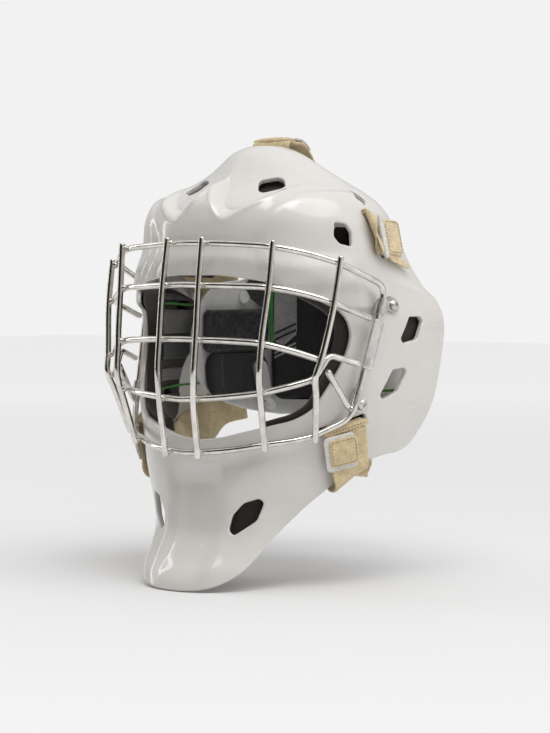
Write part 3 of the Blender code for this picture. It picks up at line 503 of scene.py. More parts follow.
def sheet_mesh(name, sheet, relief=None, outward=None, mirror=False, pole=None):
    """The mesh of a Sheet; mirror joins it with its image across X = 0."""
    outer, inner = sheet.shapes(relief)
    faces = sheet.faces.copy()
    if pole is not None:
        top = np.nonzero(sheet.places[:, 1] > pole - 1e-6)[0]
        faces[np.isin(faces, top)] = top[0]
        faces = faces[(faces[:, 0] != faces[:, 1]) & (faces[:, 1] != faces[:, 2])
                      & (faces[:, 0] != faces[:, 2])]
    corners = outer[faces]
    facing = np.cross(corners[:, 1] - corners[:, 0], corners[:, 2] - corners[:, 0])
    flip = np.einsum("ij,ij->i", facing, outer[faces[:, 0]] - inner[faces[:, 0]]) < 0
    faces[flip] = faces[flip][:, ::-1]
    count = len(outer)
    seam = np.abs(outer[:, 0]) < 1e-6 if mirror else np.zeros(count, bool)
    if mirror:
        outer[seam, 0] = inner[seam, 0] = 0.0
    sides = np.concatenate([faces[:, [0, 1]], faces[:, [1, 2]], faces[:, [2, 0]]])
    known = set(map(tuple, sides.tolist()))
    walls = [(b, a, a + count, b + count) for a, b in known
             if (b, a) not in known and not (seam[a] and seam[b])]
    points = np.concatenate([outer, inner])
    solid = faces.tolist() + (faces[:, ::-1] + count).tolist() + sorted(walls)
    normals = np.concatenate(sheet.normals(outward)) if outward is not None else None
    if mirror:
        both = np.concatenate([seam, seam])
        image = np.where(both, np.arange(2 * count), np.cumsum(~both) - 1 + 2 * count)
        points = np.concatenate([points, points[~both] * FLIP])
        solid += [tuple(image[list(face)][::-1]) for face in solid]
        if normals is not None:
            normals = np.concatenate([normals, normals[~both] * FLIP])
    return make_mesh(name, points, solid, normals)


# ---------------------------------------------------------------- Blender helpers
def make_mesh(name, points, faces, normals=None, sharp=None):
    """A smooth mesh from points in millimetres."""
    mesh = bpy.data.meshes.new(name)
    faces = [tuple(int(i) for i in face) for face in faces]
    used = np.unique(np.concatenate([np.array(face) for face in faces]))
    index = np.full(len(points), -1)
    index[used] = np.arange(len(used))
    mesh.from_pydata((np.asarray(points)[used] * MM).tolist(), [],
                     [tuple(int(index[i]) for i in face) for face in faces])
    mesh.shade_smooth()
    if sharp is not None:
        mesh.set_sharp_from_angle(angle=math.radians(sharp))
    if normals is not None:
        normals = normals[used]
        normals = normals / np.maximum(np.linalg.norm(normals, axis=1, keepdims=True), 1e-9)
        mesh.normals_split_custom_set_from_vertices(normals.tolist())
    return mesh


def face_out(mesh):
    """Turns a closed mesh's faces outwards."""
    work = bmesh.new()
    work.from_mesh(mesh)
    bmesh.ops.recalc_face_normals(work, faces=work.faces)
    work.to_mesh(mesh)
    work.free()
    return mesh


def ring_faces(rows, count, capped=True):
    """Quads between successive rings of count points, and a face over each end ring."""
    faces = [(i * count + j, i * count + (j + 1) % count, (i + 1) * count + (j + 1) % count,
              (i + 1) * count + j) for i in range(rows - 1) for j in range(count)]
    if capped:
        faces += [tuple(range(count))[::-1], tuple((rows - 1) * count + j for j in range(count))]
    return faces


def add_piece(name, mesh, finish, body=SHELL_BODY, stands_for=()):
    """A piece of the object with its finish, on its CAD body."""
    piece = bpy.data.objects.new(name, mesh)
    bpy.context.scene.collection.objects.link(piece)
    mesh.materials.clear()
    mesh.materials.append(finish)
    if body is not None:
        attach(piece, body)
    if stands_for:
        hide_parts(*stands_for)
    return piece


def tube_points(path, radius, sides=16):
    """A round wire along a line of points, with domed ends."""
    path = np.asarray(path, float)
    way = np.gradient(path, axis=0)
    way /= np.linalg.norm(way, axis=1, keepdims=True)
    side = np.cross(way[0], (0.3, 0.2, 1.0))
    rings = []
    for point, along in zip(path, way):
        side = side - along * (side @ along)
        side /= np.linalg.norm(side)
        up = np.cross(along, side)
        turn = np.linspace(0, 2 * np.pi, sides, endpoint=False)
        ring = np.outer(np.cos(turn), side) + np.outer(np.sin(turn), up)
        rings.append((point, along, ring))
    made = []
    dome = np.radians((80, 60, 40, 20))
    point, along, ring = rings[0]
    for lift in dome:
        made.append(point - along * radius * 0.55 * np.sin(lift) + ring * radius * np.cos(lift))
    made.extend(point + ring * radius for point, _, ring in rings)
    point, along, ring = rings[-1]
    for lift in dome[::-1]:
        made.append(point + along * radius * 0.55 * np.sin(lift) + ring * radius * np.cos(lift))
    return np.array(made)


def tube_mesh(name, path, radius, sides=16):
    rings = tube_points(path, radius, sides)
    return make_mesh(name, rings.reshape(-1, 3), ring_faces(len(rings), sides))


def closed_tube_mesh(name, path, radius, sides=16):
    """A round wire along a closed line, whose last ring meets the first."""
    path = np.asarray(path, float)
    way = np.roll(path, -1, axis=0) - np.roll(path, 1, axis=0)
    way /= np.linalg.norm(way, axis=1, keepdims=True)
    middle = path.mean(axis=0)
    side = path - middle
    side -= way * np.sum(side * way, axis=1, keepdims=True)
    side /= np.linalg.norm(side, axis=1, keepdims=True)
    up = np.cross(way, side)
    turn = np.linspace(0, 2 * np.pi, sides, endpoint=False)
    rings = path[:, None] + radius * (
        np.cos(turn)[None, :, None] * side[:, None] + np.sin(turn)[None, :, None] * up[:, None]
    )
    rows = len(path)
    faces = [
        (i * sides + j, i * sides + (j + 1) % sides,
         (i + 1) % rows * sides + (j + 1) % sides, (i + 1) % rows * sides + j)
        for i in range(rows) for j in range(sides)
    ]
    return make_mesh(name, rings.reshape(-1, 3), faces)


def lump_points(centre, axes, rows=8, columns=14):
    """A rounded lump with three half axes, as rings of points from pole to pole."""
    lift = np.linspace(-np.pi / 2, np.pi / 2, rows + 1)
    turn = np.linspace(0, 2 * np.pi, columns, endpoint=False)
    a, b, c = axes
    return np.array([
        centre + math.cos(t) * (np.outer(np.cos(turn), a) + np.outer(np.sin(turn), b))
        + math.sin(t) * np.asarray(c)
        for t in lift[1:-1]
    ]), centre - np.asarray(c), centre + np.asarray(c)


def lumps_mesh(name, lumps, columns=14):
    """Several rounded lumps as one mesh."""
    points, faces = [], []
    for centre, axes in lumps:
        rings, low, high = lump_points(np.asarray(centre, float), axes, columns=columns)
        base = len(points)
        points.extend(rings.reshape(-1, 3))
        points.extend([low, high])
        rows = len(rings)
        for i in range(rows - 1):
            for j in range(columns):
                k = (j + 1) % columns
                faces.append((base + i * columns + j, base + i * columns + k,
                              base + (i + 1) * columns + k, base + (i + 1) * columns + j))
        for j in range(columns):
            k = (j + 1) % columns
            faces.append((base + k, base + j, base + rows * columns))
            last = base + (rows - 1) * columns
            faces.append((last + j, last + k, base + rows * columns + 1))
    mesh = make_mesh(name, np.array(points), faces)
    return face_out(mesh)


def turned_mesh(name, profile, steps, origin, axis, sharp=35):
    """A turned shape: (radius, height) from the top's middle down the outside."""
    work = bmesh.new()
    loop = [work.verts.new((radius * MM, 0, height * MM)) for radius, height in profile]
    edges = [work.edges.new(pair) for pair in zip(loop, loop[1:])]
    bmesh.ops.spin(work, geom=loop + edges, axis=(0, 0, 1), cent=(0, 0, 0),
                   angle=2 * math.pi, steps=steps, use_merge=True)
    bmesh.ops.remove_doubles(work, verts=work.verts, dist=0.00001)
    bmesh.ops.recalc_face_normals(work, faces=work.faces)
    mesh = bpy.data.meshes.new(name)
    work.to_mesh(mesh)
    work.free()
    turn = Vector(axis).to_track_quat("Z", "Y").to_matrix().to_4x4()
    turn.translation = Vector(origin) * MM
    mesh.transform(turn)
    mesh.shade_smooth()
    mesh.set_sharp_from_angle(angle=math.radians(sharp))
    return mesh


def flip_mesh(mesh, name):
    """The mirror image of a mesh across X = 0."""
    image = mesh.copy()
    image.name = name
    image.transform(Matrix.Diagonal((-1, 1, 1, 1)))
    image.flip_normals()
    return image


def wobble(points, size, seed=0.0):
    """Smooth noise from -1 to 1 at points in millimetres, with hills of about the given size."""
    points = np.asarray(points, float) / size + seed
    return np.array([noise.noise(Vector(point)) for point in points.tolist()])


# ---------------------------------------------------------------- materials
class Finish:
    """A procedural material under construction, in the object's own coordinates."""

    def __init__(self, name, roughness=0.5, metallic=0.0, **sockets):
        self.material = bpy.data.materials.new(name)
        self.material.use_nodes = True
        self.tree = self.material.node_tree
        self.shader = self.tree.nodes["Principled BSDF"]
        self.set("Roughness", roughness)
        self.set("Metallic", metallic)
        for socket, value in sockets.items():
            self.set(socket.replace("_", " ").title().replace("Ior", "IOR"), value)
        self.where = self.node("TexCoord").outputs["Object"]
        self.height = None

    def set(self, socket, value):
        self.shader.inputs[socket].default_value = value

    def node(self, kind, inputs=None, **settings):
        item = self.tree.nodes.new("ShaderNode" + kind)
        for key, value in settings.items():
            setattr(item, key, value)
        for key, value in (inputs or {}).items():
            if isinstance(value, bpy.types.NodeSocket):
                self.tree.links.new(value, item.inputs[key])
            else:
                item.inputs[key].default_value = value
        return item

    def stretched(self, scale):
        """Object coordinates scaled unevenly, for grain that runs one way."""
        return self.node("Mapping", {"Vector": self.where, "Scale": scale}).outputs[0]

    def noise(self, size, detail=3.0, where=None, roughness=0.55):
        """Noise from 0 to 1 whose spots are about size millimetres."""
        inputs = {"Vector": where or self.where, "Scale": 1 / (size * MM), "Detail": detail,
                  "Roughness": roughness}
        return self.node("TexNoise", inputs).outputs["Fac"]

    def cells(self, size, feature="F1", randomness=1.0, where=None):
        """Distance to scattered cells of about size millimetres."""
        inputs = {"Vector": where or self.where, "Scale": 1 / (size * MM), "Randomness": randomness}
        return self.node("TexVoronoi", inputs, feature=feature).outputs["Distance"]

    def wave(self, size, direction, distortion=0.0, where=None):
        """Parallel bands, size millimetres apart."""
        inputs = {"Vector": where or self.where, "Scale": 0.314 / (size * MM),
                  "Distortion": distortion, "Detail": 1.0}
        node = self.node("TexWave", inputs, bands_direction=direction)
        return node.outputs["Fac"]

    def ramp(self, factor, stops):
        """Colours or greys along a factor: stops of (place, value)."""
        node = self.node("ValToRGB", {"Fac": factor})
        ramp = node.color_ramp
        while len(ramp.elements) < len(stops):
            ramp.elements.new(0.5)
        for element, (place, value) in zip(ramp.elements, stops):
            element.position = place
            value = (value, value, value) if isinstance(value, float) else value
            element.color = (*value, 1)
        return node.outputs["Color"]

    def math(self, operation, a, b):
        return self.node("Math", {0: a, 1: b}, operation=operation).outputs[0]

    def blend(self, factor, a, b, kind="MIX"):
        inputs = {"Fac": factor}
        for socket, value in (("Color1", a), ("Color2", b)):
            inputs[socket] = (*value, 1) if isinstance(value, tuple) else value
        return self.node("MixRGB", inputs, blend_type=kind).outputs["Color"]

    def colour(self, value):
        self.tree.links.new(value, self.shader.inputs["Base Color"])

    def roughness(self, value):
        self.tree.links.new(value, self.shader.inputs["Roughness"])

    def bump(self, height, depth, strength=1.0):
        """Relief of depth millimetres over whatever relief there is."""
        inputs = {"Height": height, "Distance": depth * MM, "Strength": strength}
        if self.height is not None:
            inputs["Normal"] = self.height
        self.height = self.node("Bump", inputs).outputs["Normal"]
        self.tree.links.new(self.height, self.shader.inputs["Normal"])


def shell_finish():
    """Glossy white gelcoat with faint mottling, fine scratches and a dulled, dusty skin."""
    made = Finish("shell_gelcoat", 0.2, coat_weight=0.55, coat_roughness=0.05, ior=1.5)
    clouds = made.noise(38, 4)
    tone = made.ramp(clouds, [(0.3, (0.655, 0.635, 0.60)), (0.7, (0.70, 0.685, 0.655))])
    specks = made.noise(1.1, 2)
    dirt = made.ramp(specks, [(0.70, 0.0), (0.80, 1.0)])
    made.colour(made.blend(made.math("MULTIPLY", dirt, 0.25), tone, (0.42, 0.39, 0.34)))
    scuffs = made.noise(9, 5, where=made.stretched((1.0, 0.25, 1.4)))
    made.roughness(made.ramp(scuffs, [(0.35, 0.14), (0.62, 0.24), (0.8, 0.36)]))
    made.bump(made.noise(16, 1), 0.03)
    made.bump(made.noise(0.8, 3, where=made.stretched((1.0, 0.3, 1.0))), 0.004)
    return made.material


def chrome_finish(name, tone, rough, fine):
    """Polished or brushed steel with drawn marks, faint tarnish and small pits."""
    made = Finish(name, rough, 1.0)
    tarnish = made.noise(7, 4)
    dark = tuple(value * 0.80 for value in tone)
    made.colour(made.ramp(tarnish, [(0.35, dark), (0.62, tone)]))
    marks = made.noise(1.6, 4, where=made.stretched((1.0, 1.0, 0.22)))
    made.roughness(made.ramp(marks, [(0.3, rough * 0.7), (0.75, rough * 1.9)]))
    made.bump(made.noise(2.6, 2), 0.02)
    made.bump(made.noise(0.35, 3), fine)
    return made.material


def textile_finish(name, dark, light, weave=1.3, pebble=0.16, sheen=0.25, rough=0.82):
    """A knitted or embossed cloth face over foam."""
    made = Finish(name, rough, sheen_weight=sheen, sheen_roughness=0.4)
    yarn = made.cells(weave, "SMOOTH_F1")
    clouds = made.noise(14, 4)
    factor = made.math("ADD", made.math("MULTIPLY", yarn, 0.75), made.math("MULTIPLY", clouds, 0.5))
    made.colour(made.ramp(factor, [(0.25, dark), (0.75, light)]))
    made.roughness(made.ramp(clouds, [(0.3, rough * 0.8), (0.7, min(rough * 1.1, 1.0))]))
    made.bump(yarn, pebble)
    made.bump(made.noise(0.5, 3), 0.08)
    return made.material


def pile_finish(name, dark, light, size=0.7, depth=0.35):
    """Loop pile: a felted fuzz of curled loops, darker in the hollows as painted shade and lighter at the
    tips as painted highlight, and matted in places.
    """
    made = Finish(name, 0.93, sheen_weight=0.45, sheen_roughness=0.55)
    loops = made.noise(size, 5, roughness=0.75)
    tufts = made.cells(size * 2.2, "SMOOTH_F1")
    mats = made.noise(5.5, 3)
    # The loops' share of the colour is painted shade in the hollows and painted highlight on the tips; the
    # mats' share is real tone
    fuzz = made.math("ADD", made.math("MULTIPLY", loops, 0.72), made.math("MULTIPLY", mats, 0.30))
    middle = tuple((a + b) / 2 for a, b in zip(dark, light))
    made.colour(made.ramp(fuzz, [(0.30, dark), (0.50, middle), (0.68, light)]))
    made.bump(loops, depth)
    made.bump(tufts, depth * 0.9)
    return made.material


def webbing_finish(name, dark, light, rib=1.1, direction="Z"):
    """Ribbed woven tape."""
    made = Finish(name, 0.8, sheen_weight=0.2, sheen_roughness=0.4)
    ribs = made.wave(rib, direction, 1.2)
    dirt = made.noise(4, 4)
    factor = made.math("ADD", made.math("MULTIPLY", ribs, 0.45), made.math("MULTIPLY", dirt, 0.55))
    made.colour(made.ramp(factor, [(0.25, dark), (0.7, light)]))
    made.bump(ribs, 0.16)
    made.bump(made.noise(0.4, 3), 0.06)
    return made.material


def plastic_finish(name, tone, rough=0.32, grain=0.03, size=0.9):
    """Moulded plastic with a fine spark-eroded grain and handling marks."""
    made = Finish(name, rough)
    clouds = made.noise(22, 4)
    low = tuple(value * 0.9 for value in tone)
    made.colour(made.ramp(clouds, [(0.3, low), (0.65, tone)]))
    made.roughness(made.ramp(made.noise(6, 5), [(0.3, rough * 0.8), (0.75, rough * 1.35)]))
    made.bump(made.noise(size, 2), grain)
    return made.material


SHELL_FINISH = shell_finish()
CHROME = chrome_finish("polished_wire", (0.80, 0.775, 0.73), 0.085, 0.002)
WELD = chrome_finish("weld_bead", (0.62, 0.60, 0.56), 0.19, 0.012)
ZINC = chrome_finish("zinc_plated_steel", (0.70, 0.68, 0.64), 0.24, 0.010)
LABEL = chrome_finish("satin_plate", (0.74, 0.73, 0.71), 0.33, 0.006)
FOAM = textile_finish("liner_cloth", (0.004, 0.004, 0.004), (0.022, 0.019, 0.017))
FOAM_EDGE = textile_finish("foam_edge", (0.006, 0.0045, 0.0035), (0.030, 0.022, 0.016), 0.8, 0.10, 0.1)
PAD_CLOTH = textile_finish("pad_cloth", (0.003, 0.003, 0.004), (0.055, 0.055, 0.056), 2.6, 0.30, 0.15, 0.6)
SMOOTH_CLOTH = textile_finish("smooth_pad_cloth", (0.010, 0.010, 0.011), (0.034, 0.033, 0.033),
                              0.9, 0.06, 0.3)
GREY_CLOTH = textile_finish("grey_cloth", (0.07, 0.068, 0.066), (0.15, 0.148, 0.145), 0.9, 0.07, 0.3)
GREY_WEAVE = textile_finish("grey_herringbone", (0.13, 0.13, 0.13), (0.36, 0.36, 0.355), 0.7, 0.12, 0.3)
# Near-black liner cloth whose brown tint is a painted reflection of the tan strap beside it
JAW_CLOTH_STRAP_REFLECTION = textile_finish("jaw_cloth_painted_reflection", (0.008, 0.005, 0.0035), (0.045, 0.031, 0.021), 1.0, 0.10, 0.2)
PAD_BLACK = textile_finish("black_pad_cloth", (0.002, 0.002, 0.002), (0.014, 0.014, 0.015), 1.1, 0.12, 0.15)
PIPING = textile_finish("green_piping", (0.012, 0.085, 0.010), (0.05, 0.30, 0.035), 0.8, 0.06, 0.2)
# The dark tone is the tan in painted shade and the light tone the tan with painted highlight
PILE = pile_finish("tan_loop_pile", (0.34, 0.235, 0.10), (0.93, 0.77, 0.48))
BINDING = webbing_finish("white_binding", (0.50, 0.47, 0.41), (0.86, 0.85, 0.82), 0.9)
THREAD = webbing_finish("tan_thread", (0.10, 0.065, 0.03), (0.30, 0.21, 0.10), 0.5)
ELASTIC = webbing_finish("white_elastic", (0.42, 0.40, 0.36), (0.78, 0.77, 0.74), 1.0, "X")
PLATE_PLASTIC = plastic_finish("satin_white_plastic", (0.80, 0.80, 0.785))
PILL_PLASTIC = plastic_finish("pale_grey_plastic", (0.56, 0.56, 0.55), 0.4)


# ---------------------------------------------------------------- shell
def face_outline():
    half = smooth_path([(x, z) for x, z in FACE_OPENING_HALF], 80)
    return np.concatenate([half, (half * (-1, 1))[::-1][1:-1]])


def rear_outline():
    """Everything behind the rear edge and below the hem, as an outline of (y, z)."""
    edge = smooth_path(REAR_EDGE, 170)
    return np.concatenate([edge, [(-160, -160), (-160, -230), (260, -230), (260, 200), (12, 200)]])


def ring_radius(level):
    row = SHELL_TABLE.read(level)
    return np.maximum((row[2] + (row[3] - row[1] + row[4]) / 2) / 2, 0.1)


CONFORMAL_LEVELS = np.linspace(0, SHELL_TOP, 1500)
CONFORMAL_HEIGHTS = np.concatenate(
    [[0], np.cumsum(np.diff(CONFORMAL_LEVELS) / ring_radius(CONFORMAL_LEVELS[1:]))]
)


def flat_shell(angle, level):
    """The shell's (angle, level) laid flat with little distortion."""
    return np.stack([angle, np.interp(level, CONFORMAL_LEVELS, CONFORMAL_HEIGHTS)], -1)


def shell_grid(spacing, angles=(0, math.pi), levels=(0, None), halves=(144, 72, 36, 18, 9)):
    """Places on half of the shell about evenly apart, in rows whose count halves near the pole."""
    low, high = levels[0], SHELL_TOP if levels[1] is None else levels[1]
    rows = max(int((high - low) / spacing), 2)
    places = []
    for level in np.linspace(low, high, rows + 1):
        wanted = ring_radius(level) * (angles[1] - angles[0]) / spacing
        count = int(wanted) + 2
        if angles == (0, math.pi):
            count = next((half for half in halves if half <= wanted * 1.25), halves[-1])
        places.extend((angle, level) for angle in np.linspace(*angles, count + 1))
    return np.array(places)


def shell_openings():
    fields = [
        outline_field(rear_outline(), (1, 2)),
        outline_field(face_outline(), (0, 2), lambda points: points[:, 1] < 0),
        outline_field(round_corners(CHIN_VENT, 2.2, closed=True), (0, 2),
                      lambda points: points[:, 1] < -55),
        outline_field(round_corners(TOP_VENT, 2.0, closed=True), (0, 1),
                      lambda points: points[:, 2] > 105),
    ]
    for name, outline in SIDE_VENTS.items():
        radius = 1.6
        fields.append(outline_field(round_corners(outline, radius, closed=True), (1, 2)))
    for name in SLOTS:
        fields.append(slot_field(*slot_frame(name), SLOT_LENGTH, SLOT_WIDTH))
    top = (np.array([0, TOP_SLOT_Y, 160.0]), np.array([1.0, 0, 0]), np.array([0, 0, 1.0]))
    fields.append(slot_field(*top, SLOT_LENGTH, SLOT_WIDTH))
    for place, _ in CLIPS.values():
        point, normal = side_frame(*place)
        fields.append(hole_field(point, normal, SCREW_HOLE_RADIUS))
    return fields


def hole_field(centre, normal, radius):
    def field(places, points):
        local = points - centre
        off = local - np.outer(local @ normal, normal)
        value = np.linalg.norm(off, axis=1) - radius
        return np.where(np.linalg.norm(local, axis=1) > radius + FIELD_REACH, FIELD_REACH, value)

    return field


def make_shell():
    grid = shell_grid(2.4)
    crown = (0, math.radians(42)), shell_level(np.array([104.0, 153.0]))
    inside = (grid[:, 0] < crown[0][1]) & (grid[:, 1] > crown[1][0]) & (grid[:, 1] < crown[1][1])
    fine = np.stack(np.meshgrid(np.linspace(*crown[0], 56), np.linspace(*crown[1], 70),
                                indexing="ij"), -1).reshape(-1, 2)
    grid = np.concatenate([grid[~inside], fine])
    domain = ((0, math.pi), (0, SHELL_TOP))
    sheet = Sheet(shell_surface, flat_shell, domain, grid, shell_openings(),
                  (0.0, SHELL_THICKNESS), (1.3, 1.0), 1.0)
    outward = shell_normal(sheet.places[:, 0], sheet.places[:, 1])
    mesh = sheet_mesh("shell_moulding", sheet, None, outward, mirror=True, pole=SHELL_TOP)
    add_piece("shell_moulding", mesh, SHELL_FINISH, SHELL_BODY, ["shell"])


# ---------------------------------------------------------------- cage
WIRE = 4.6
CAGE_TOP = [(0, -100.3, 90.5), (15.5, -99.2, 90.2), (42, -94.8, 89.2), (67.7, -88.8, 87.1),
            (88, -74.5, 82.2), (102.8, -60, 76.1)]
CAGE_TOP_CORNER = (112, -16, 60)
CAGE_LOWER_CORNER = (101.5, -43, -33)
CAGE_BOTTOM = [(84.5, -63, -45), (73, -75.5, -48.5), (58.1, -85, -51), (38, -96, -54.8),
               (14.4, -102.6, -57.3), (0, -104, -58)]
BROW_BAR = [(0, -104.7, 61), (15.7, -103.9, 60.6), (42, -98.5, 60), (66.5, -91.2, 58.8),
            (88, -77, 54), (101.5, -65.5, 48.5), (105.8, -47, 42.5), (108.3, -31, 37.5)]
EYE_BAR = [(0, -107.8, 22.5), (16, -107.1, 22.3), (42, -102.5, 21.6), (64.2, -96.5, 20),
           (82, -85, 14.8), (95.6, -72.5, 9)]
MOUTH_BAR = [(0, -109.3, -20), (15.6, -108.5, -19.2), (42, -103.5, -17), (63.1, -94.6, -14),
             (80, -85, -9.5)]
MOUTH_BAR_KNEE = (93.0, -75.5, -5)
MOUTH_BAR_HIP = (97.6, -63.8, 12)
MOUTH_BAR_END = (105.4, -39.5, 5.4)
UPRIGHTS = {
    "inner": [(16.0, -104.0, 93.5), (16.6, -108.6, 60.6), (16.9, -112.0, 22.3),
              (16.7, -113.9, 0), (15.9, -113.3, -19.2), (14.9, -107.2, -60.8)],
    "middle": [(70.2, -92.2, 90.6), (69.0, -95.6, 58.8), (66.7, -100.8, 20),
               (65.7, -101.5, -10), (64.4, -98.5, -20), (60.2, -88.6, -54.5)],
    "outer": [(106.9, -62.8, 79.6), (105.4, -68.6, 48.5), (99.6, -76.0, 9),
              (97.2, -79.2, -3.5), (94.6, -75.0, -16), (87.0, -65.5, -48.5)],
}
BRACE_TOP = (97.8, -65.5, 0.5)
BRACE_FOOT = (101.2, -46.5, -24.5)
RATING_PLATE = (8.5, 36.0, 1.0)
RATING_PLATE_HEIGHT = 19.0


def both_sides(half):
    """A centre line from the middle outwards, carried across to the other side."""
    half = np.asarray(half, float)
    return np.concatenate([(half * FLIP)[::-1][:-1], half])


def perimeter_line():
    top, bottom = smooth_path(CAGE_TOP, 40), smooth_path(CAGE_BOTTOM, 36)
    corners = round_corners([top[-1], CAGE_TOP_CORNER, CAGE_LOWER_CORNER, bottom[0]], 10, 10)
    low, high = np.array(CAGE_LOWER_CORNER, float), np.array(CAGE_TOP_CORNER, float)
    upper, lower = corners[1:12], corners[12:-1]
    side = [high + (low - high) * s for s in np.linspace(0.15, 0.85, 18)]
    left = np.concatenate([top, upper, side, lower, bottom])
    return np.concatenate([left, (left * FLIP)[::-1][1:-1]])


def mouth_line():
    mouth = smooth_path(MOUTH_BAR, 30)
    bends = round_corners([mouth[-1], MOUTH_BAR_KNEE, MOUTH_BAR_HIP, MOUTH_BAR_END], 5, 8)
    bends = np.concatenate([bends[1:-1], np.linspace(bends[-2], bends[-1], 9)[1:]])
    return both_sides(np.concatenate([mouth, bends]))


def cage_lines():
    """Each wire's centre line, by the CAD node that it stands for."""
    lines = {
        "cage_brow_bar": both_sides(smooth_path(BROW_BAR, 50)),
        "cage_eye_bar": both_sides(smooth_path(EYE_BAR, 44)),
        "cage_mouth_bar": mouth_line(),
    }
    for side in ("left", "right"):
        for name, line in UPRIGHTS.items():
            path = smooth_path(line, 70)
            lines[f"cage_upright_{name}_{side}"] = path * for_side((1, 1, 1), side)
        brace = np.linspace(BRACE_TOP, BRACE_FOOT, 14)
        lines[f"cage_diagonal_brace_{side}"] = brace * for_side((1, 1, 1), side)
    return lines


def weld_spots(lines):
    """Where two wires touch: the point between them and the directions of both."""
    spots = []
    names = sorted(lines)
    for i, first in enumerate(names):
        for second in names[i + 1:]:
            a, b = lines[first], lines[second]
            gaps = np.linalg.norm(a[:, None] - b[None], axis=2)
            for _ in range(6):
                m, n = np.unravel_index(np.argmin(gaps), gaps.shape)
                if gaps[m, n] > WIRE + 1.6:
                    break
                way_a = a[min(m + 1, len(a) - 1)] - a[max(m - 1, 0)]
                way_b = b[min(n + 1, len(b) - 1)] - b[max(n - 1, 0)]
                spots.append(((a[m] + b[n]) / 2, way_a, way_b, b[n] - a[m]))
                close = np.linalg.norm(a - a[m], axis=1) < 14
                gaps[close] = FAR
    return spots


def make_cage():
    lines = cage_lines()
    perimeter = perimeter_line()
    mesh = closed_tube_mesh("perimeter_wire", perimeter, WIRE / 2, 18)
    add_piece("perimeter_wire", mesh, CHROME, SHELL_BODY, ["cage_perimeter_wire"])
    for node, line in lines.items():
        name = node.replace("cage_", "wire_")
        add_piece(name, tube_mesh(name, line, WIRE / 2, 18), CHROME, SHELL_BODY, [node])
    lumps = []
    for spot, way_a, way_b, gap in weld_spots({**lines, "perimeter": perimeter}):
        gap = gap / max(np.linalg.norm(gap), 1e-6)
        way_a = way_a / np.linalg.norm(way_a)
        way_b = way_b / np.linalg.norm(way_b)
        side = np.cross(gap, way_a)
        side /= max(np.linalg.norm(side), 1e-6)
        ahead = np.cross(side, gap)
        lumps.append((spot, (ahead * 2.5, side * 2.5, gap * 1.5)))
    add_piece("cage_weld_beads", lumps_mesh("cage_weld_beads", lumps), WELD, SHELL_BODY, ())
    make_rating_plate()


def side_bar_point(height):
    low, high = np.array(CAGE_LOWER_CORNER, float), np.array(CAGE_TOP_CORNER, float)
    return low + (high - low) * (height - low[2]) / (high[2] - low[2])


def plaque_mesh(name, outline, centre, right, up, out, thickness, border=0.9, sunk=0.25):
    """A flat plate with a bevelled rim and a slightly sunk field."""
    outline = np.asarray(outline, float)
    middle = outline.mean(axis=0)

    def ring(inset, lift):
        way = outline - middle
        flat = middle + way * (1 - inset / np.linalg.norm(way, axis=1, keepdims=True))
        return centre + np.outer(flat[:, 0], right) + np.outer(flat[:, 1], up) + out * lift

    rings = [ring(0, -thickness / 2), ring(0, thickness / 2 - 0.25), ring(0.25, thickness / 2),
             ring(border, thickness / 2), ring(border + 0.3, thickness / 2 - sunk)]
    count = len(outline)
    points = np.concatenate(rings)
    mesh = make_mesh(name, points, ring_faces(len(rings), count), sharp=50)
    return face_out(mesh)


def make_rating_plate():
    """The small blank plate that stands against the outside of the left side bar."""
    width, length, thickness = RATING_PLATE
    bar = side_bar_point(RATING_PLATE_HEIGHT)
    run = np.subtract(CAGE_TOP_CORNER, CAGE_LOWER_CORNER).astype(float)
    run /= np.linalg.norm(run)
    out = np.array([1, -0.25, 0])
    out = out - run * (out @ run)
    out /= np.linalg.norm(out)
    centre = bar + out * (WIRE / 2 + 0.3 + thickness / 2)
    outline = round_corners([(-width / 2, -length / 2), (width / 2, -length / 2),
                             (width / 2, length / 2), (-width / 2, length / 2)], 1.6, 6, closed=True)
    mesh = plaque_mesh("rating_plate", outline, centre, np.cross(run, out), run, out, thickness)
    add_piece("rating_plate", mesh, LABEL, SHELL_BODY, ["cage_rating_plate"])


# ---------------------------------------------------------------- clips and screws
CLIP_WIDTH = 11.0
CLIP_SHEET = 1.1
SCREW_HEAD_RADIUS = 4.1
GAP = 0.3


def clip_line(reach, height):
    """Side view of a clip: a tab on the shell that goes round the bar, with its own directions."""
    loop = WIRE / 2 + GAP + CLIP_SHEET / 2 + 0.1
    lift = GAP + CLIP_SHEET / 2
    line = [(u, lift) for u in np.linspace(-5.4, SCREW_HEAD_RADIUS + 0.5, 12)]
    line += [(u, lift) for u in np.linspace(SCREW_HEAD_RADIUS + 1.2, reach - loop - 0.8, 6)]
    for angle in np.radians(np.linspace(-120, 165, 34)):
        line.append((reach + loop * math.cos(angle), height + loop * math.sin(angle)))
    return np.array(line)


def clip_mesh(name, rows, thickness):
    """A folded sheet through rows of points, thickened along its own normals."""
    rows = np.asarray(rows)
    along = np.gradient(rows, axis=0)
    across = rows[:, -1:] - rows[:, :1]
    normal = np.cross(along, np.broadcast_to(across, along.shape))
    normal /= np.linalg.norm(normal, axis=-1, keepdims=True)
    half = thickness / 2
    top, bottom = rows + normal * half, rows - normal * half
    count, width = rows.shape[:2]
    points = np.concatenate([top.reshape(-1, 3), bottom.reshape(-1, 3)])
    faces, size = [], count * width
    for i in range(count - 1):
        for j in range(width - 1):
            a = i * width + j
            faces.append((a, a + 1, a + width + 1, a + width))
            faces.append((size + a, size + a + width, size + a + width + 1, size + a + 1))
    edge = [i * width for i in range(count)] + [(count - 1) * width + j for j in range(1, width)]
    edge += [i * width + width - 1 for i in range(count - 2, -1, -1)]
    edge += [j for j in range(width - 2, 0, -1)]
    for a, b in zip(edge, edge[1:] + edge[:1]):
        faces.append((a, b, b + size, a + size))
    mesh = make_mesh(name, points, faces, sharp=50)
    return face_out(mesh)


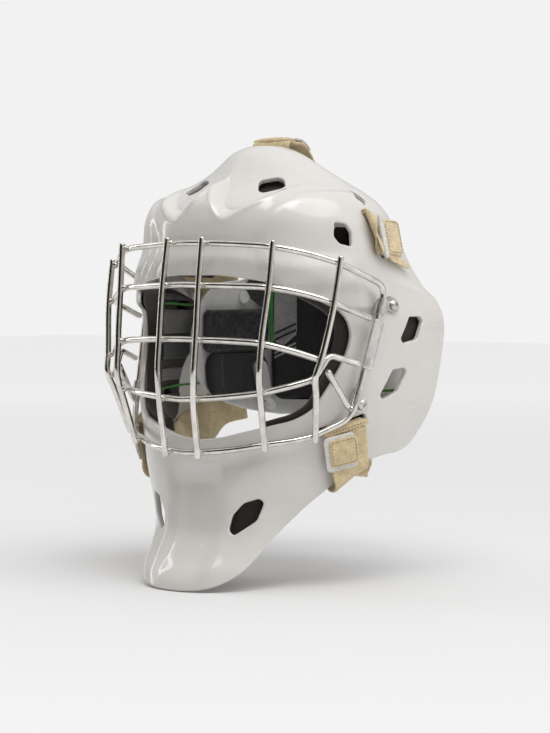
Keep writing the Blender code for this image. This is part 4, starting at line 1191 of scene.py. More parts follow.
def make_clips():
    bar_run = np.subtract(CAGE_TOP_CORNER, CAGE_LOWER_CORNER).astype(float)
    bar_run /= np.linalg.norm(bar_run)
    for name, (place, bar_height) in CLIPS.items():
        point, normal = side_frame(*place)
        to_bar = side_bar_point(bar_height) - point
        tab_run = bar_run - normal * (bar_run @ normal)
        tab_run /= np.linalg.norm(tab_run)
        ahead = np.cross(normal, tab_run)
        ahead *= math.copysign(1, ahead @ to_bar)
        reach, height, drift = to_bar @ ahead, to_bar @ normal, to_bar @ tab_run
        for side in ("left", "right"):
            rows = []
            for u, h in clip_line(reach, height):
                share = float(smoothstep(SCREW_HEAD_RADIUS + 0.5, reach - 4, u))
                centre = point + ahead * u + normal * h + tab_run * (drift * share)
                run = (tab_run * (1 - share) + bar_run * share) * (CLIP_WIDTH / 2)
                narrow = 1.0
                if u < 0.6:
                    narrow = math.sqrt(max(1 - ((0.6 - u) / 6.2) ** 2, 0.02))
                rows.append([for_side(centre + run * s * narrow, side)
                             for s in np.linspace(-1, 1, 9)])
            label = f"{name}_{side}"
            mesh = clip_mesh("clip_" + label, rows, CLIP_SHEET)
            add_piece("clip_" + label, mesh, ZINC, SHELL_BODY, ["cage_clip_" + label])
            make_screw(label, for_side(point, side), for_side(normal, side))


def make_screw(label, origin, axis):
    """A pan-head screw with a square-sided recess, and its flanged nut's new finish."""
    seat = GAP + CLIP_SHEET + GAP
    head = SCREW_HEAD_RADIUS
    dome = [(head * math.cos(t), seat + 0.5 + 2.0 * math.sin(t)) for t in np.radians((8, 25, 42, 58, 70))]
    profile = [(0, seat + 1.1), (1.15, seat + 1.15), (1.35, seat + 2.35)]
    profile += [*reversed(dome), (head, seat + 0.45), (head, seat)]
    profile += [(2.0, seat), (2.0, seat - 7.6), (0, seat - 7.6)]
    mesh = turned_mesh("screw_" + label, profile, 24, origin, axis)
    add_piece("screw_" + label, mesh, ZINC, SHELL_BODY, ["cage_screw_" + label])
    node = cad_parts["cage_nut_" + label]
    node.material_slots[0].material = ZINC


# ---------------------------------------------------------------- straps and tabs
PLATE_THICKNESS = 2.5
STRAP_WIDTH = 35.0
STRAP_THICKNESS = 1.8
HEM_RUN = (0.35, 0.74, 0.57)


def smooth_stations(stations, spacing):
    """A band's stations made denser along smooth curves."""
    centres = np.array([centre for centre, _ in stations], float)
    length = np.sum(np.linalg.norm(np.diff(centres, axis=0), axis=1))
    count = max(int(length / spacing), 6)
    path = smooth_path(centres, count)
    knots = np.concatenate([[0], np.cumsum(np.linalg.norm(np.diff(centres, axis=0), axis=1))])
    runs = SmoothTable(knots, np.array([run for _, run in stations], float).T)
    return path, runs.read(np.linspace(0, knots[-1], count)).T


def band_mesh(name, path, runs, width, thickness, spacing=0.9, fuzz=0.0, shape=None):
    """A flat band with rounded edges along a path; fuzz roughens it, and shape moves its points."""
    half = width / 2
    columns = max(int(width / spacing), 8)
    across = np.linspace(-1, 1, columns + 1)
    bend = np.clip((np.abs(across) * half - (half - thickness / 2)) / (thickness / 2), 0, 1)
    fat = thickness / 2 * np.sqrt(np.maximum(1 - bend**2, 0))
    way = np.gradient(path, axis=0)
    runs = runs - way * (np.sum(runs * way, axis=1) / np.sum(way * way, axis=1))[:, None]
    runs = runs / np.linalg.norm(runs, axis=1, keepdims=True)
    normal = np.cross(way, runs)
    normal /= np.linalg.norm(normal, axis=1, keepdims=True)
    spots = path[:, None] + runs[:, None] * (across * half)[None, :, None]
    top = spots + normal[:, None] * fat[None, :, None]
    bottom = spots - normal[:, None] * fat[None, :, None]
    if fuzz:
        count = top.shape[0] * top.shape[1]
        rough = wobble(top.reshape(-1, 3), 1.7, 3.1) * 0.6 + wobble(top.reshape(-1, 3), 0.8, 8.7) * 0.5
        rough = rough.reshape(top.shape[:2])
        top = top + normal[:, None] * (rough * fuzz)[..., None]
        bottom = bottom + normal[:, None] * (rough * fuzz * 0.6)[..., None]
    rows, columns = top.shape[:2]
    ring = [top[:, j] for j in range(columns)] + [bottom[:, j] for j in range(columns - 2, 0, -1)]
    ring = np.stack(ring, axis=1)
    sides = ring.shape[1]
    points = ring.reshape(-1, 3) if shape is None else shape(ring.reshape(-1, 3))
    faces = ring_faces(rows, sides, capped=False)
    for base in (0, (rows - 1) * sides):
        for j in range(columns - 1):
            a, b = j, j + 1
            c = (sides - b) % sides if b < columns - 1 else b
            d = (sides - a) % sides
            cap = []
            for k in (a, b, c, d):
                if base + k not in cap:
                    cap.append(base + k)
            if len(cap) > 2:
                faces.append(tuple(cap))
    mesh = make_mesh(name, points, faces)
    return face_out(mesh)


def upper_strap():
    """Stations of the left upper strap, from the backplate out through its slot."""
    centre, run, normal = slot_frame("upper")
    return [
        ((89.5, 48, 54), (0.1, 0.40, -0.9)),
        ((92.0, 33, 67), (0.15, 0.42, -0.9)),
        (on_side(16, 82, -8), (0.2, 0.42, -0.88)),
        (on_side(2, 92, -9), run),
        (centre - normal * 6, run),
        (centre + normal * 0.5, run),
        (on_side(-11.5, 97, 4.2), run),
        (on_side(-15.5, 97, 6.0), (0.22, 0.35, -0.90)),
        (on_side(-14.6, 96.6, 7.8), (0.2, 0.2, -0.95)),
    ]


def lower_strap():
    """Stations of the left lower strap, from the backplate round the hem to its slot."""
    centre, run, normal = slot_frame("lower")
    return [
        ((80.9, 64, -30), (0.0, 0.0, 1.0)),
        ((87.0, 43, -34), (0.05, 0.1, 1.0)),
        ((87.5, 22, -46), (0.15, 0.55, 0.8)),
        (on_side(2, -58, -12), (0.25, 0.7, 0.65)),
        (on_side(-20, -67.5, -12), HEM_RUN),
        (on_side(-27.5, -78.4, -3), HEM_RUN),
        (on_side(-31, -74, 5), HEM_RUN),
        (on_side(-34.5, -63, 4.5), (0.38, 0.8, 0.45)),
        (on_side(-38, -50, 3.8), run),
        (centre + normal * 3.4, run),
        (centre - normal * 2.2, run),
    ]


TOP_STRAP = [
    ((0, 81.5, 121), (1, 0, 0)),
    ((0, 75, 132), (1, 0, 0)),
    ((0, 62, 137.5), (1, 0, 0)),
    ((0, 47, 142.5), (1, 0, 0)),
    ((0, 34, 148), (1, 0, 0)),
    ((0, 26, 154.5), (1, 0, 0)),
    ((0, 20, 161.5), (1, 0, 0)),
    ((0, 13.5, 166.2), (1, 0, 0)),
    ((0, 5, 166.6), (1, 0, 0)),
    ((0, -4, 166.8), (1, 0, 0)),
    ((0, TOP_SLOT_Y - 0.4, 163), (1, 0, 0)),
    ((0, TOP_SLOT_Y + 0.4, 159), (1, 0, 0)),
]


def loop_shape(name, side):
    """Draws a strap's loop in towards its slot at the band's two edges."""
    centre, run, normal = (for_side(vector, side) for vector in slot_frame(name))

    def shape(points):
        local = points - centre
        along = local @ run
        away = local - along[..., None] * run
        height = local @ normal
        share = np.clip(np.abs(along) / (STRAP_WIDTH / 2), 0, 1)
        keep = 1 - 0.72 * share**3 * smoothstep(0.2, 1.5, height)
        return centre + along[..., None] * run + away * keep[..., None]

    return shape


def add_strap(name, stations, side, width=STRAP_WIDTH, shape=None):
    path, runs = smooth_stations(stations, 1.1)
    mirror = for_side((1, 1, 1), side)
    mesh = band_mesh(name, path * mirror, runs * mirror, width, STRAP_THICKNESS, 0.9, 0.35, shape=shape)
    piece = add_piece(name, mesh, PILE, None, [name.replace("band", "strap")])
    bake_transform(piece)


def stitches(name, line, out, length=1.5, gap=2.4, body=SHELL_BODY):
    """A row of thread stitches along a line, each a small lump that stands out of the cloth."""
    line = np.asarray(line, float)
    knots = np.concatenate([[0], np.cumsum(np.linalg.norm(np.diff(line, axis=0), axis=1))])
    lumps = []
    for place in np.arange(gap / 2, knots[-1], gap):
        spot = np.array([np.interp(place, knots, line[:, i]) for i in range(3)])
        ahead = np.array([np.interp(place + 0.5, knots, line[:, i]) for i in range(3)]) - spot
        ahead /= max(np.linalg.norm(ahead), 1e-9)
        side = np.cross(out, ahead)
        side /= max(np.linalg.norm(side), 1e-9)
        lumps.append((spot, (ahead * length / 2, side * 0.34, np.asarray(out) * 0.34)))
    add_piece(name, lumps_mesh(name, lumps, columns=8), THREAD, body, ())


def make_straps():
    add_strap("band_top", TOP_STRAP, "left")
    for side in ("left", "right"):
        sign = 1 if side == "left" else -1
        add_strap("band_upper_" + side, upper_strap(), side,
                  shape=loop_shape("upper", side))
        add_strap("band_lower_" + side, lower_strap(), side,
                  LOWER_STRAP_WIDTH)
        centre, run, normal = (for_side(vector, side) for vector in slot_frame("lower"))
        down = np.cross(run, normal) * sign
        down *= -math.copysign(1, down[2])
        line = [centre + normal * 3.6 + down * 1.5 + run * (s * SLOT_LENGTH / 2)
                for s in np.linspace(-1, 1, 44)]
        name = "band_lower_roll_" + side
        mesh = roll_mesh(name, line, normal, down)
        add_piece(name, mesh, PILE, SHELL_BODY, ())
        for k, lift in enumerate((0.4, 2.9)):
            row = [point + normal * (2.9 - 0.35 * k) + down * (lift - 0.9) for point in line[5:-5]]
            stitches(f"band_lower_stitches_{k + 1}_{side}", row, normal)


def roll_mesh(name, line, out, down):
    """A cushion of folded strap along a slot, thickest at its middle."""
    line, sides = np.asarray(line), 20
    turn = np.linspace(0, 2 * np.pi, sides, endpoint=False)
    share = np.linspace(-1, 1, len(line))
    girth = np.sqrt(np.maximum(1 - np.abs(share) ** 2.6, 0.0)) + 0.02
    rings = [point + np.outer(np.cos(turn), down) * 3.4 * g + np.outer(np.sin(turn), out) * 2.5 * g
             for point, g in zip(line, girth)]
    rings = np.array(rings)
    rough = wobble(rings.reshape(-1, 3), 1.6, 4.0).reshape(rings.shape[:2])
    rings = rings + (rings - line[:, None]) * (0.14 * rough)[..., None]
    mesh = make_mesh(name, rings.reshape(-1, 3), ring_faces(len(rings), sides))
    return face_out(mesh)


def slab_mesh(name, outline, frame_of, thickness, fuzz=0.0, rim=0.7, rings=16):
    """A flat slab with a rounded rim: an outline of (along, across) on a frame's plane."""
    origin, along, across, out = frame_of
    outline = np.asarray(outline, float)
    middle = outline.mean(axis=0)
    size = np.linalg.norm(outline - middle, axis=1).mean()
    steps = [(1 - rim * (1 - math.cos(t)) / size, math.sin(t)) for t in np.radians((0, 30, 60, 90))]
    steps += [(scale, 1.0) for scale in np.linspace(1 - 1.4 * rim / size, 0.03, rings)]
    sheets = []
    for sign in (1, -1):
        rows = []
        for scale, height in steps:
            flat = middle + (outline - middle) * scale
            rows.append(origin + np.outer(flat[:, 0], along) + np.outer(flat[:, 1], across)
                        + out * (sign * height * thickness / 2))
        sheets.append(np.array(rows))
    if fuzz:
        rough = wobble(sheets[0].reshape(-1, 3), 1.5, 2.2).reshape(sheets[0].shape[:2])
        sheets[0] = sheets[0] + out * (rough * fuzz)[..., None]
    rows = np.concatenate([sheets[1][::-1], sheets[0][1:]])
    mesh = make_mesh(name, rows.reshape(-1, 3), ring_faces(len(rows), len(outline)))
    return face_out(mesh)


def dense_outline(corners, radius, step=0.9):
    """A closed outline with round corners and points about evenly apart."""
    line = round_corners(corners, radius, 6, closed=True)
    line = np.concatenate([line, line[:1]])
    knots = np.concatenate([[0], np.cumsum(np.linalg.norm(np.diff(line, axis=0), axis=1))])
    places = np.linspace(0, knots[-1], int(knots[-1] / step), endpoint=False)
    return np.stack([np.interp(places, knots, line[:, i]) for i in range(2)], -1)


LOWER_STRAP_WIDTH = 31.0
SIDE_TABS = {
    "upper": ((-10.0, 95.0), (19.0, 94.0), 4.2, (0.2, 0.1, -0.97), 28.0),
    "lower": ((-46.0, -43.5), (-40.0, -66.5), 7.4, (0.496, 0.863, 0.08), 25.0),
}
TOP_TAB_LINE = [(6, 169.4), (12, 169.2), (17.5, 166.9), (22.5, 162.8)]


def tab_parts(name, length, width):
    """Parts of a side tab: name, finish, outline of (along, across), corner radius, thickness, lift."""
    half = width / 2
    if name == "lower":
        edge = [(0, -half), (length + 1, -half), (length + 1, half - 1), (0, half - 1)]
        pile = [(2.8, -half + 3.6), (length - 2.2, -half + 3.6), (length - 2.2, half), (2.8, half)]
        return [("base", BINDING, edge, 3.6, 1.5, -0.3), ("pile", PILE, pile, 2.6, 2.0, 0.7)]
    strip = [(2.6, -half - 1.5), (7.2, -half - 1.5), (8.4, 0), (8.8, half + 2), (4, half + 3), (3.2, 0)]
    base = [(4, -half + 1), (length, -half + 1), (length, half), (4, half + 1)]
    pile = [(8, -half + 1.2), (length - 0.6, -half + 1.6), (length - 0.6, half - 0.4), (9, half - 0.4)]
    tail = [(7, half - 1), (17, half - 2), (length + 7, half + 5), (length + 7, half + 9), (14, half + 4)]
    return [("base", ELASTIC, base, 3, 1.2, -0.5), ("pile", PILE, pile, 4.5, 2.4, 0.6),
            ("strip", BINDING, strip, 1.5, 1.8, 1.2), ("tail", PILE, tail, 1.5, 1.4, -0.2)]


def make_tabs():
    for name, (hinge_place, end_place, lift, across, width) in SIDE_TABS.items():
        hinge, end = on_side(*hinge_place, lift), on_side(*end_place, lift)
        length = np.linalg.norm(end - hinge)
        along = (end - hinge) / length
        run = np.array(across, float)
        run = run - along * (run @ along)
        run /= np.linalg.norm(run)
        out = np.cross(run, along)
        out *= math.copysign(1, out[0])
        for side in ("left", "right"):
            label = f"tab_{name}_{side}"
            stands_for = ["strap_" + label]
            for part, finish, corners, corner, thickness, height in tab_parts(name, length, width):
                frame_of = [for_side(v, side) for v in (hinge + out * height, along, run, out)]
                outline = dense_outline(corners, corner)
                fuzz = 0.3 if finish is PILE else 0.08
                mesh = slab_mesh(f"{label}_{part}", outline, frame_of, thickness, fuzz)
                add_piece(f"{label}_{part}", mesh, finish, label, stands_for)
                stands_for = ()
                if part == "pile":
                    inner = dense_outline(corners, corner, 0.5)
                    middle = inner.mean(axis=0)
                    inner = middle + (inner - middle) * 0.86
                    row = [frame_of[0] + frame_of[1] * a + frame_of[2] * b
                           + frame_of[3] * (thickness / 2 + 0.1) for a, b in inner]
                    stitches(f"{label}_stitches", row, frame_of[3], body=label)
    path = smooth_path([(0, y, z) for y, z in TOP_TAB_LINE], 26)
    runs = np.tile([1.0, 0, 0], (len(path), 1))
    mesh = band_mesh("tab_top_pile", path, runs, STRAP_WIDTH - 2, 1.8, 0.9, 0.25)
    add_piece("tab_top_pile", mesh, ELASTIC, "tab_top", ["strap_tab_top"])
    roll = [(x, TOP_TAB_LINE[0][0] - 7.5, TOP_TAB_LINE[0][1] - 0.9) for x in np.linspace(-19, 19, 44)]
    mesh = roll_mesh("band_top_roll", roll, np.array([0, 0, 1.0]), np.array([0, 1.0, 0]))
    add_piece("band_top_roll", mesh, PILE, SHELL_BODY, ())


# ---------------------------------------------------------------- pads
CLOTH_PRESSURE = 4.0
CLOTH_FRAMES = 20


def puff(piece, cap, voxel=3.2):
    """Swell a pad as cloth under pressure, by at most cap millimetres, and keep the result."""
    scene = bpy.context.scene
    remesh = piece.modifiers.new("remesh", "REMESH")
    remesh.mode = "VOXEL"
    remesh.voxel_size = voxel * MM
    remesh.use_smooth_shade = True
    bpy.context.view_layer.objects.active = piece
    bpy.ops.object.modifier_apply(modifier=remesh.name)
    before = np.array([vertex.co for vertex in piece.data.vertices])
    cloth = piece.modifiers.new("cloth", "CLOTH")
    cloth.settings.use_pressure = True
    cloth.settings.uniform_pressure_force = CLOTH_PRESSURE
    cloth.settings.effector_weights.gravity = 0.0
    cloth.settings.tension_stiffness = 12.0
    cloth.settings.compression_stiffness = 12.0
    cloth.point_cache.frame_start = 1
    cloth.point_cache.frame_end = CLOTH_FRAMES
    for step in range(1, CLOTH_FRAMES + 1):
        scene.frame_set(step)
    graph = bpy.context.evaluated_depsgraph_get()
    after = np.array([vertex.co for vertex in piece.evaluated_get(graph).data.vertices])
    piece.modifiers.remove(cloth)
    scene.frame_set(1)
    move = after - before
    length = np.linalg.norm(move, axis=1, keepdims=True)
    move *= cap * MM * np.tanh(length / (cap * MM)) / np.maximum(length, 1e-9)
    piece.data.vertices.foreach_set("co", (before + move).ravel())
    smooth = piece.modifiers.new("smooth", "SMOOTH")
    smooth.factor = 0.5
    smooth.iterations = 3
    finer = piece.modifiers.new("finer", "SUBSURF")
    finer.levels = finer.render_levels = 1
    for modifier in (smooth, finer):
        bpy.ops.object.modifier_apply(modifier=modifier.name)
    piece.data.shade_smooth()


class Ground:
    """A surface that pads are laid on, with its flat map and what an angle is worth there."""

    def __init__(self, surface, flatten, level_of, body):
        self.surface = surface
        self.flatten = flatten
        self.level_of = level_of
        self.body = body


def flat_plate(angle, level):
    return np.stack([angle * PLATE_SCALE, level], -1)


def plate_surface(angle, height, depth=0.0):
    """Backplate surface: angle from straight back, depth towards the head."""
    angle, height = np.broadcast_arrays(angle, height)
    half_width, reach = PLATE_TABLE.read(height)
    half_width, reach = half_width - depth, reach - depth
    radius = (np.abs(np.sin(angle)) / half_width) ** 2.2 + (np.abs(np.cos(angle)) / reach) ** 2.2
    radius = radius ** (-1 / 2.2)
    return np.stack([radius * np.sin(angle), PLATE_MIDDLE + radius * np.cos(angle), height], -1)


def plate_normal(angle, height):
    normal = surface_frame(plate_surface, angle, height, (0.01, 0.5))
    outward = plate_surface(angle, height) - np.stack(
        [angle * 0, angle * 0 + PLATE_MIDDLE, height + angle * 0], -1)
    return normal * np.sign(np.sum(normal * outward, axis=-1, keepdims=True))


PLATE_MIDDLE = 25.0
PLATE_SCALE = 86.0
PLATE_SECTIONS = [
    (-42, 79, 88), (-30, 82, 91), (-10, 85, 94), (10, 86, 95), (35, 85.5, 93), (55, 84, 90),
    (68, 82, 86), (80, 79, 81), (95, 73, 73), (110, 65, 63), (124, 56, 50), (130, 52, 44),
]
PLATE_EDGE_ANGLES = [
    (-42, 46), (-37, 66), (-28, 86), (-15, 100), (10, 107), (35, 104), (52, 97), (62, 86),
    (66, 68), (76, 50), (95, 38), (112, 32), (124, 27), (130, 20),
]
PLATE_TABLE = SmoothTable([row[0] for row in PLATE_SECTIONS],
                          [[row[1] for row in PLATE_SECTIONS], [row[2] for row in PLATE_SECTIONS]])
RIVET_RADIUS = 5.0
SHELL_GROUND = Ground(shell_surface, flat_shell, shell_level, SHELL_BODY)
PLATE_GROUND = Ground(plate_surface, flat_plate, lambda height: height, PLATE_BODY)


def ground_sheet(ground, angles, heights, field, depths, radii, spacing):
    """A Sheet on part of a ground, between two angles in degrees and two heights."""
    low, high = np.radians(angles)
    levels = ground.level_of(np.array(heights, float))
    scale = PLATE_SCALE
    columns = max(int(abs(high - low) * scale / spacing), 3)
    rows = max(int((levels[1] - levels[0]) / spacing), 3)
    grid = np.stack(np.meshgrid(np.linspace(low, high, columns), np.linspace(*levels, rows),
                                indexing="ij"), -1).reshape(-1, 2)
    domain = ((low - 0.06, high + 0.06), (levels[0] - 4, levels[1] + 4))
    cell = min(spacing * 0.6, 1.2)
    return Sheet(ground.surface, ground.flatten, domain, grid, [field], depths, radii, cell)


def pad_field(ground, angles, heights, corner):
    """A rounded box between two angles in degrees and two heights."""
    levels = ground.level_of(np.array(heights, float))
    middle = (math.radians(sum(angles) / 2), levels.mean())
    half = (math.radians(angles[1] - angles[0]) / 2 * PLATE_SCALE, (levels[1] - levels[0]) / 2)
    return box_field(middle, half, corner, PLATE_SCALE)


def add_pad(name, ground, angles, heights, depths, finish, stands_for=(), corner=8.0,
            radii=(1.0, 4.0), spacing=2.4, relief=None, field=None, cap=0.0, side=None):
    """A pad on a ground; a positive cap swells it as cloth, and side "right" mirrors it."""
    field = field or pad_field(ground, angles, heights, corner)
    sheet = ground_sheet(ground, angles, heights, field, depths, radii, spacing)
    mesh = sheet_mesh(name, sheet, relief)
    if side == "right":
        mesh = flip_mesh(mesh, name)
    piece = add_piece(name, mesh, finish, None, ())
    if cap:
        puff(piece, cap)
    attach(piece, ground.body)
    if stands_for:
        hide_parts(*stands_for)
    return piece


def ground_line(ground, places, depth, count=60):
    """A smooth line on a ground through places of (degrees, height)."""
    path = smooth_path([(a, h) for a, h in places], count)
    return ground.surface(np.radians(path[:, 0]), ground.level_of(path[:, 1]), depth)


def cushion_relief(rise, seams=(), groove=0.9, width=1.6):
    """Extra depth of a pad's faces: a gentle crown and sewn channels across given levels."""
    def relief(points, places):
        inner = rise * (0.75 + 0.25 * wobble(points, 16.0, 2.0))
        for axis, value in seams:
            inner = inner - groove * np.exp(-((places[:, axis] - value) / width) ** 2)
        return 0.0, inner

    return relief


LINER_DEPTH = 5.6
LINER_LIP = 3.2
SIDE_LINER_OUTLINE = [
    (-100, 64), (-20, 62), (20, 52), (38, 45), (42, 30), (38, 15), (10, 6), (-4, -8),
    (-8, -30), (-14, -44), (-40, -47), (-60, -50), (-100, -52),
]


def side_liner_field(inset, band=(-56.0, 60.0)):
    """Where the cheek and jaw foam lies, drawn in by inset and kept between two heights."""
    opening = outline_field(face_outline(), (0, 2), lambda points: points[:, 1] < 10)
    outline = round_corners(SIDE_LINER_OUTLINE, 6, closed=True)
    first, last = math.radians(26), math.radians(118)
    pockets = []
    for place, _ in CLIPS.values():
        point, normal = side_frame(*place)
        pockets.append(hole_field(point, normal, 7.0))

    def field(places, points):
        value = np.minimum(-polygon_distance(points[:, 1:], outline), opening(places, points) + LINER_LIP)
        value = np.minimum(value, (places[:, 0] - first) * PLATE_SCALE)
        value = np.minimum(value, (last - places[:, 0]) * PLATE_SCALE)
        value = np.minimum(value, np.minimum(points[:, 2] - band[0], band[1] - points[:, 2]))
        if inset == 0:
            for pocket in pockets:
                value = np.minimum(value, pocket(places, points))
        return value - inset

    return field


# Layers on the inner face of each side liner: name, lowest and highest z, and finish
LINER_PANELS = [
    ("crest", (50.5, 60.0), PAD_CLOTH), ("upper", (21.0, 47.5), GREY_CLOTH),
    ("middle", (1.5, 18.5), SMOOTH_CLOTH), ("lower", (-14.5, -0.5), GREY_CLOTH),
    ("jaw", (-52.0, -21.0), JAW_CLOTH_STRAP_REFLECTION),
# The jaw panel is dark cloth with a painted brown reflection of the tan strap
]


def make_liner():
    add_pad("forehead_cushion", SHELL_GROUND, (-60, 60), (67, 98), (LINER_DEPTH + 0.4, 16.5), FOAM,
            ["forehead_pad"], 7, (2.0, 4.0), 2.6,
            cushion_relief(0.6, [(0, math.radians(a)) for a in (-30, 0, 30)], 0.9, 0.02), cap=2.0)
    add_pad("crown_cushion", SHELL_GROUND, (-60, 60), (116, 154), (8.8, 20.0), FOAM,
            ["crown_pad"], 9, (1.5, 3.0), 2.6, cushion_relief(0.5), cap=1.8)
    add_pad("chin_cushion", SHELL_GROUND, (-42, 42), (-124, -86), (LINER_DEPTH + 2.6, 13.0), FOAM_EDGE,
            ["chin_pad"], 8, (1.5, 2.5), 2.4, cushion_relief(0.4), cap=1.5)
    for side in ("left", "right"):
        add_pad("temple_cushion_" + side, SHELL_GROUND, (66, 104), (70, 108), (14.6, 20.5), FOAM,
                ["temple_pad_" + side], 9, (1.5, 3.0), 2.4, cushion_relief(0.5),
                cap=1.5, side=side)
        add_pad("side_cushion_" + side, SHELL_GROUND, (26, 118), (-56, 60), (LINER_DEPTH, 15.4),
                FOAM_EDGE, ["side_liner_" + side], radii=(1.2, 2.6), spacing=2.4,
                relief=cushion_relief(0.0), field=side_liner_field(0.0), side=side)
        for name, band, finish in LINER_PANELS:
            add_pad(f"side_panel_{name}_{side}", SHELL_GROUND, (28, 116), band, (15.1, 16.8),
                    finish, (), radii=(0.2, 1.0), spacing=1.8,
                    relief=cushion_relief(0.3), field=side_liner_field(2.4, band), side=side)
        for name, heights in (("upper", (49.5, 48.5)), ("lower", (-18.5, -17.0))):
            line = ground_line(SHELL_GROUND, [(48, heights[0]), (75, sum(heights) / 2 + 0.6),
                                              (100, heights[1])], 16.2)
            line = line * for_side((1, 1, 1), side)
            label = f"side_piping_{name}_{side}"
            mesh = tube_mesh(label, line, 0.9, 10)
            add_piece(label, mesh, PIPING, SHELL_BODY, ())


# ---------------------------------------------------------------- backplate
def plate_outline_field():
    right = smooth_path([(math.radians(a) * PLATE_SCALE, h) for h, a in PLATE_EDGE_ANGLES], 90)
    outline = np.concatenate([right, (right * (-1, 1))[::-1]])

    def field(places, points):
        return -polygon_distance(places * (PLATE_SCALE, 1), outline)

    return field


def flat_field(outline, corner):
    """A field that keeps an outline of (degrees, height) on the backplate, with round corners."""
    flat = [(math.radians(a) * PLATE_SCALE, h) for a, h in outline]
    flat = round_corners(flat, corner, 6, closed=True)

    def field(places, points):
        return -polygon_distance(places * (PLATE_SCALE, 1), flat)

    return field


def speckle_relief(size, depth):
    def relief(points, places):
        return 0.0, depth * wobble(points, size, 5.0)

    return relief


def chevron_relief(points, places):
    """Herringbone ridges across the grey panel."""
    across = np.abs(np.degrees(np.abs(places[:, 0])) - 43.0) * 1.2
    ridge = np.abs(((places[:, 1] - across) / 3.4) % 1.0 - 0.5) * 2
    return 0.0, 0.9 * (ridge - 0.5)


def rib_relief(points, places):
    """Upright ribs near the middle of the back, and sewn channels elsewhere."""
    degrees = np.degrees(np.abs(places[:, 0]))
    ribs = np.cos(degrees * 2 * np.pi / 1.8) * smoothstep(11, 13, degrees) * smoothstep(23.5, 21.5, degrees)
    channel = np.exp(-((degrees - 25) / 0.9) ** 2) + np.exp(-((degrees - 35) / 0.9) ** 2)
    return 0.0, 0.6 + 0.55 * ribs - 1.1 * channel + 0.25 * wobble(points, 9.0)


def pill_recess(points, places):
    """The rounded hollow in the lower side pad."""
    u = (np.degrees(np.abs(places[:, 0])) - 76.0) * 1.5
    v = places[:, 1] + 8.0
    hollow = np.hypot(np.maximum(np.abs(u) - 9, 0), np.maximum(np.abs(v) - 9, 0)) - 5
    ridge = np.exp(-((u + v * 0.7 + 2) / 1.6) ** 2) * (hollow < 0)
    return 0.0, -1.8 * smoothstep(1.5, -2.5, hollow) + 0.5 * ridge


def make_backplate():
    domain_grid = (-109, 109), (-42, 130)
    sheet = ground_sheet(PLATE_GROUND, *domain_grid, plate_outline_field(), (0.0, PLATE_THICKNESS),
                         (1.15, 1.15), 3.0)
    outward = plate_normal(sheet.places[:, 0], sheet.places[:, 1])
    mesh = sheet_mesh("backplate_moulding", sheet, outward=outward)
    add_piece("backplate_moulding", mesh, PLATE_PLASTIC, PLATE_BODY, ["backplate"])
    bed = PLATE_THICKNESS + 1.2
    add_pad("back_cushion", PLATE_GROUND, (-50, 50), (-30, 71), (bed, 11.2), PAD_BLACK,
            ["backplate_pad_centre"], 10, (0.8, 3.2), 2.0, rib_relief)
    for side in ("left", "right"):
        add_pad("back_side_upper_" + side, PLATE_GROUND, (52.5, 98), (9.0, 42), (bed, 9.4), PAD_CLOTH,
                ["backplate_pad_" + side], 5, (0.6, 2.6), 1.9, speckle_relief(4.5, 0.5),
                side=side)
        add_pad("back_side_lower_" + side, PLATE_GROUND, (52.5, 96), (-27, 8.0), (bed, 9.0),
                SMOOTH_CLOTH, (), 11, (0.6, 3.4), 1.7, pill_recess, side=side)
        field = flat_field([(49, 75), (49, 43.5), (55.5, 43.5), (64, 52), (66, 62), (61.5, 75)], 3)
        add_pad("back_hex_panel_" + side, PLATE_GROUND, (47, 68), (41, 76), (bed - 0.8, 7.0),
                PAD_CLOTH, (), radii=(0.4, 2.6), spacing=1.4,
                relief=speckle_relief(3.2, 0.45), field=field, side=side)
        field = flat_field([(36.5, 60), (50, 60), (50, 17), (44, 13), (36.5, 22)], 2)
        add_pad("back_chevron_panel_" + side, PLATE_GROUND, (35, 51), (12, 61), (11.0, 13.0),
                GREY_WEAVE, (), radii=(0.3, 0.9), spacing=0.9, relief=chevron_relief,
                field=field, side=side)
        for k, height in enumerate((28.0, 23.0, 12.5, 9.0)):
            outline = [(37, height + 3.5), (49.5, height - 4.5), (49.5, height - 6.3), (37, height + 1.7)]
            finish = PAD_BLACK if k < 2 else GREY_WEAVE
            add_pad(f"back_stripe_{k + 1}_{side}", PLATE_GROUND, (35, 51), (height - 8, height + 5),
                    (11.4, 13.9 if k < 2 else 12.6), finish, (), radii=(0.2, 0.5),
                    spacing=1.0, field=flat_field(outline, 0.5), side=side)
        sign = 1 if side == "left" else -1
        line = ground_line(PLATE_GROUND, [(51.3, 62), (51.6, 40), (51.0, 16)], 11.4)
        mesh = tube_mesh("back_piping_" + side, line * (sign, 1, 1), 1.3, 12)
        add_piece("back_piping_" + side, mesh, PIPING, PLATE_BODY, ())
        add_toggle(side)
    make_rivets()


# The toggle: place on the backplate in degrees and height, depth, and half sizes
TOGGLE_ANGLE, TOGGLE_HEIGHT, TOGGLE_DEPTH = 57.0, -14.0, 10.6
TOGGLE_RADIUS, TOGGLE_STRAIGHT, TOGGLE_SIDES = 6.0, 10.0, 40


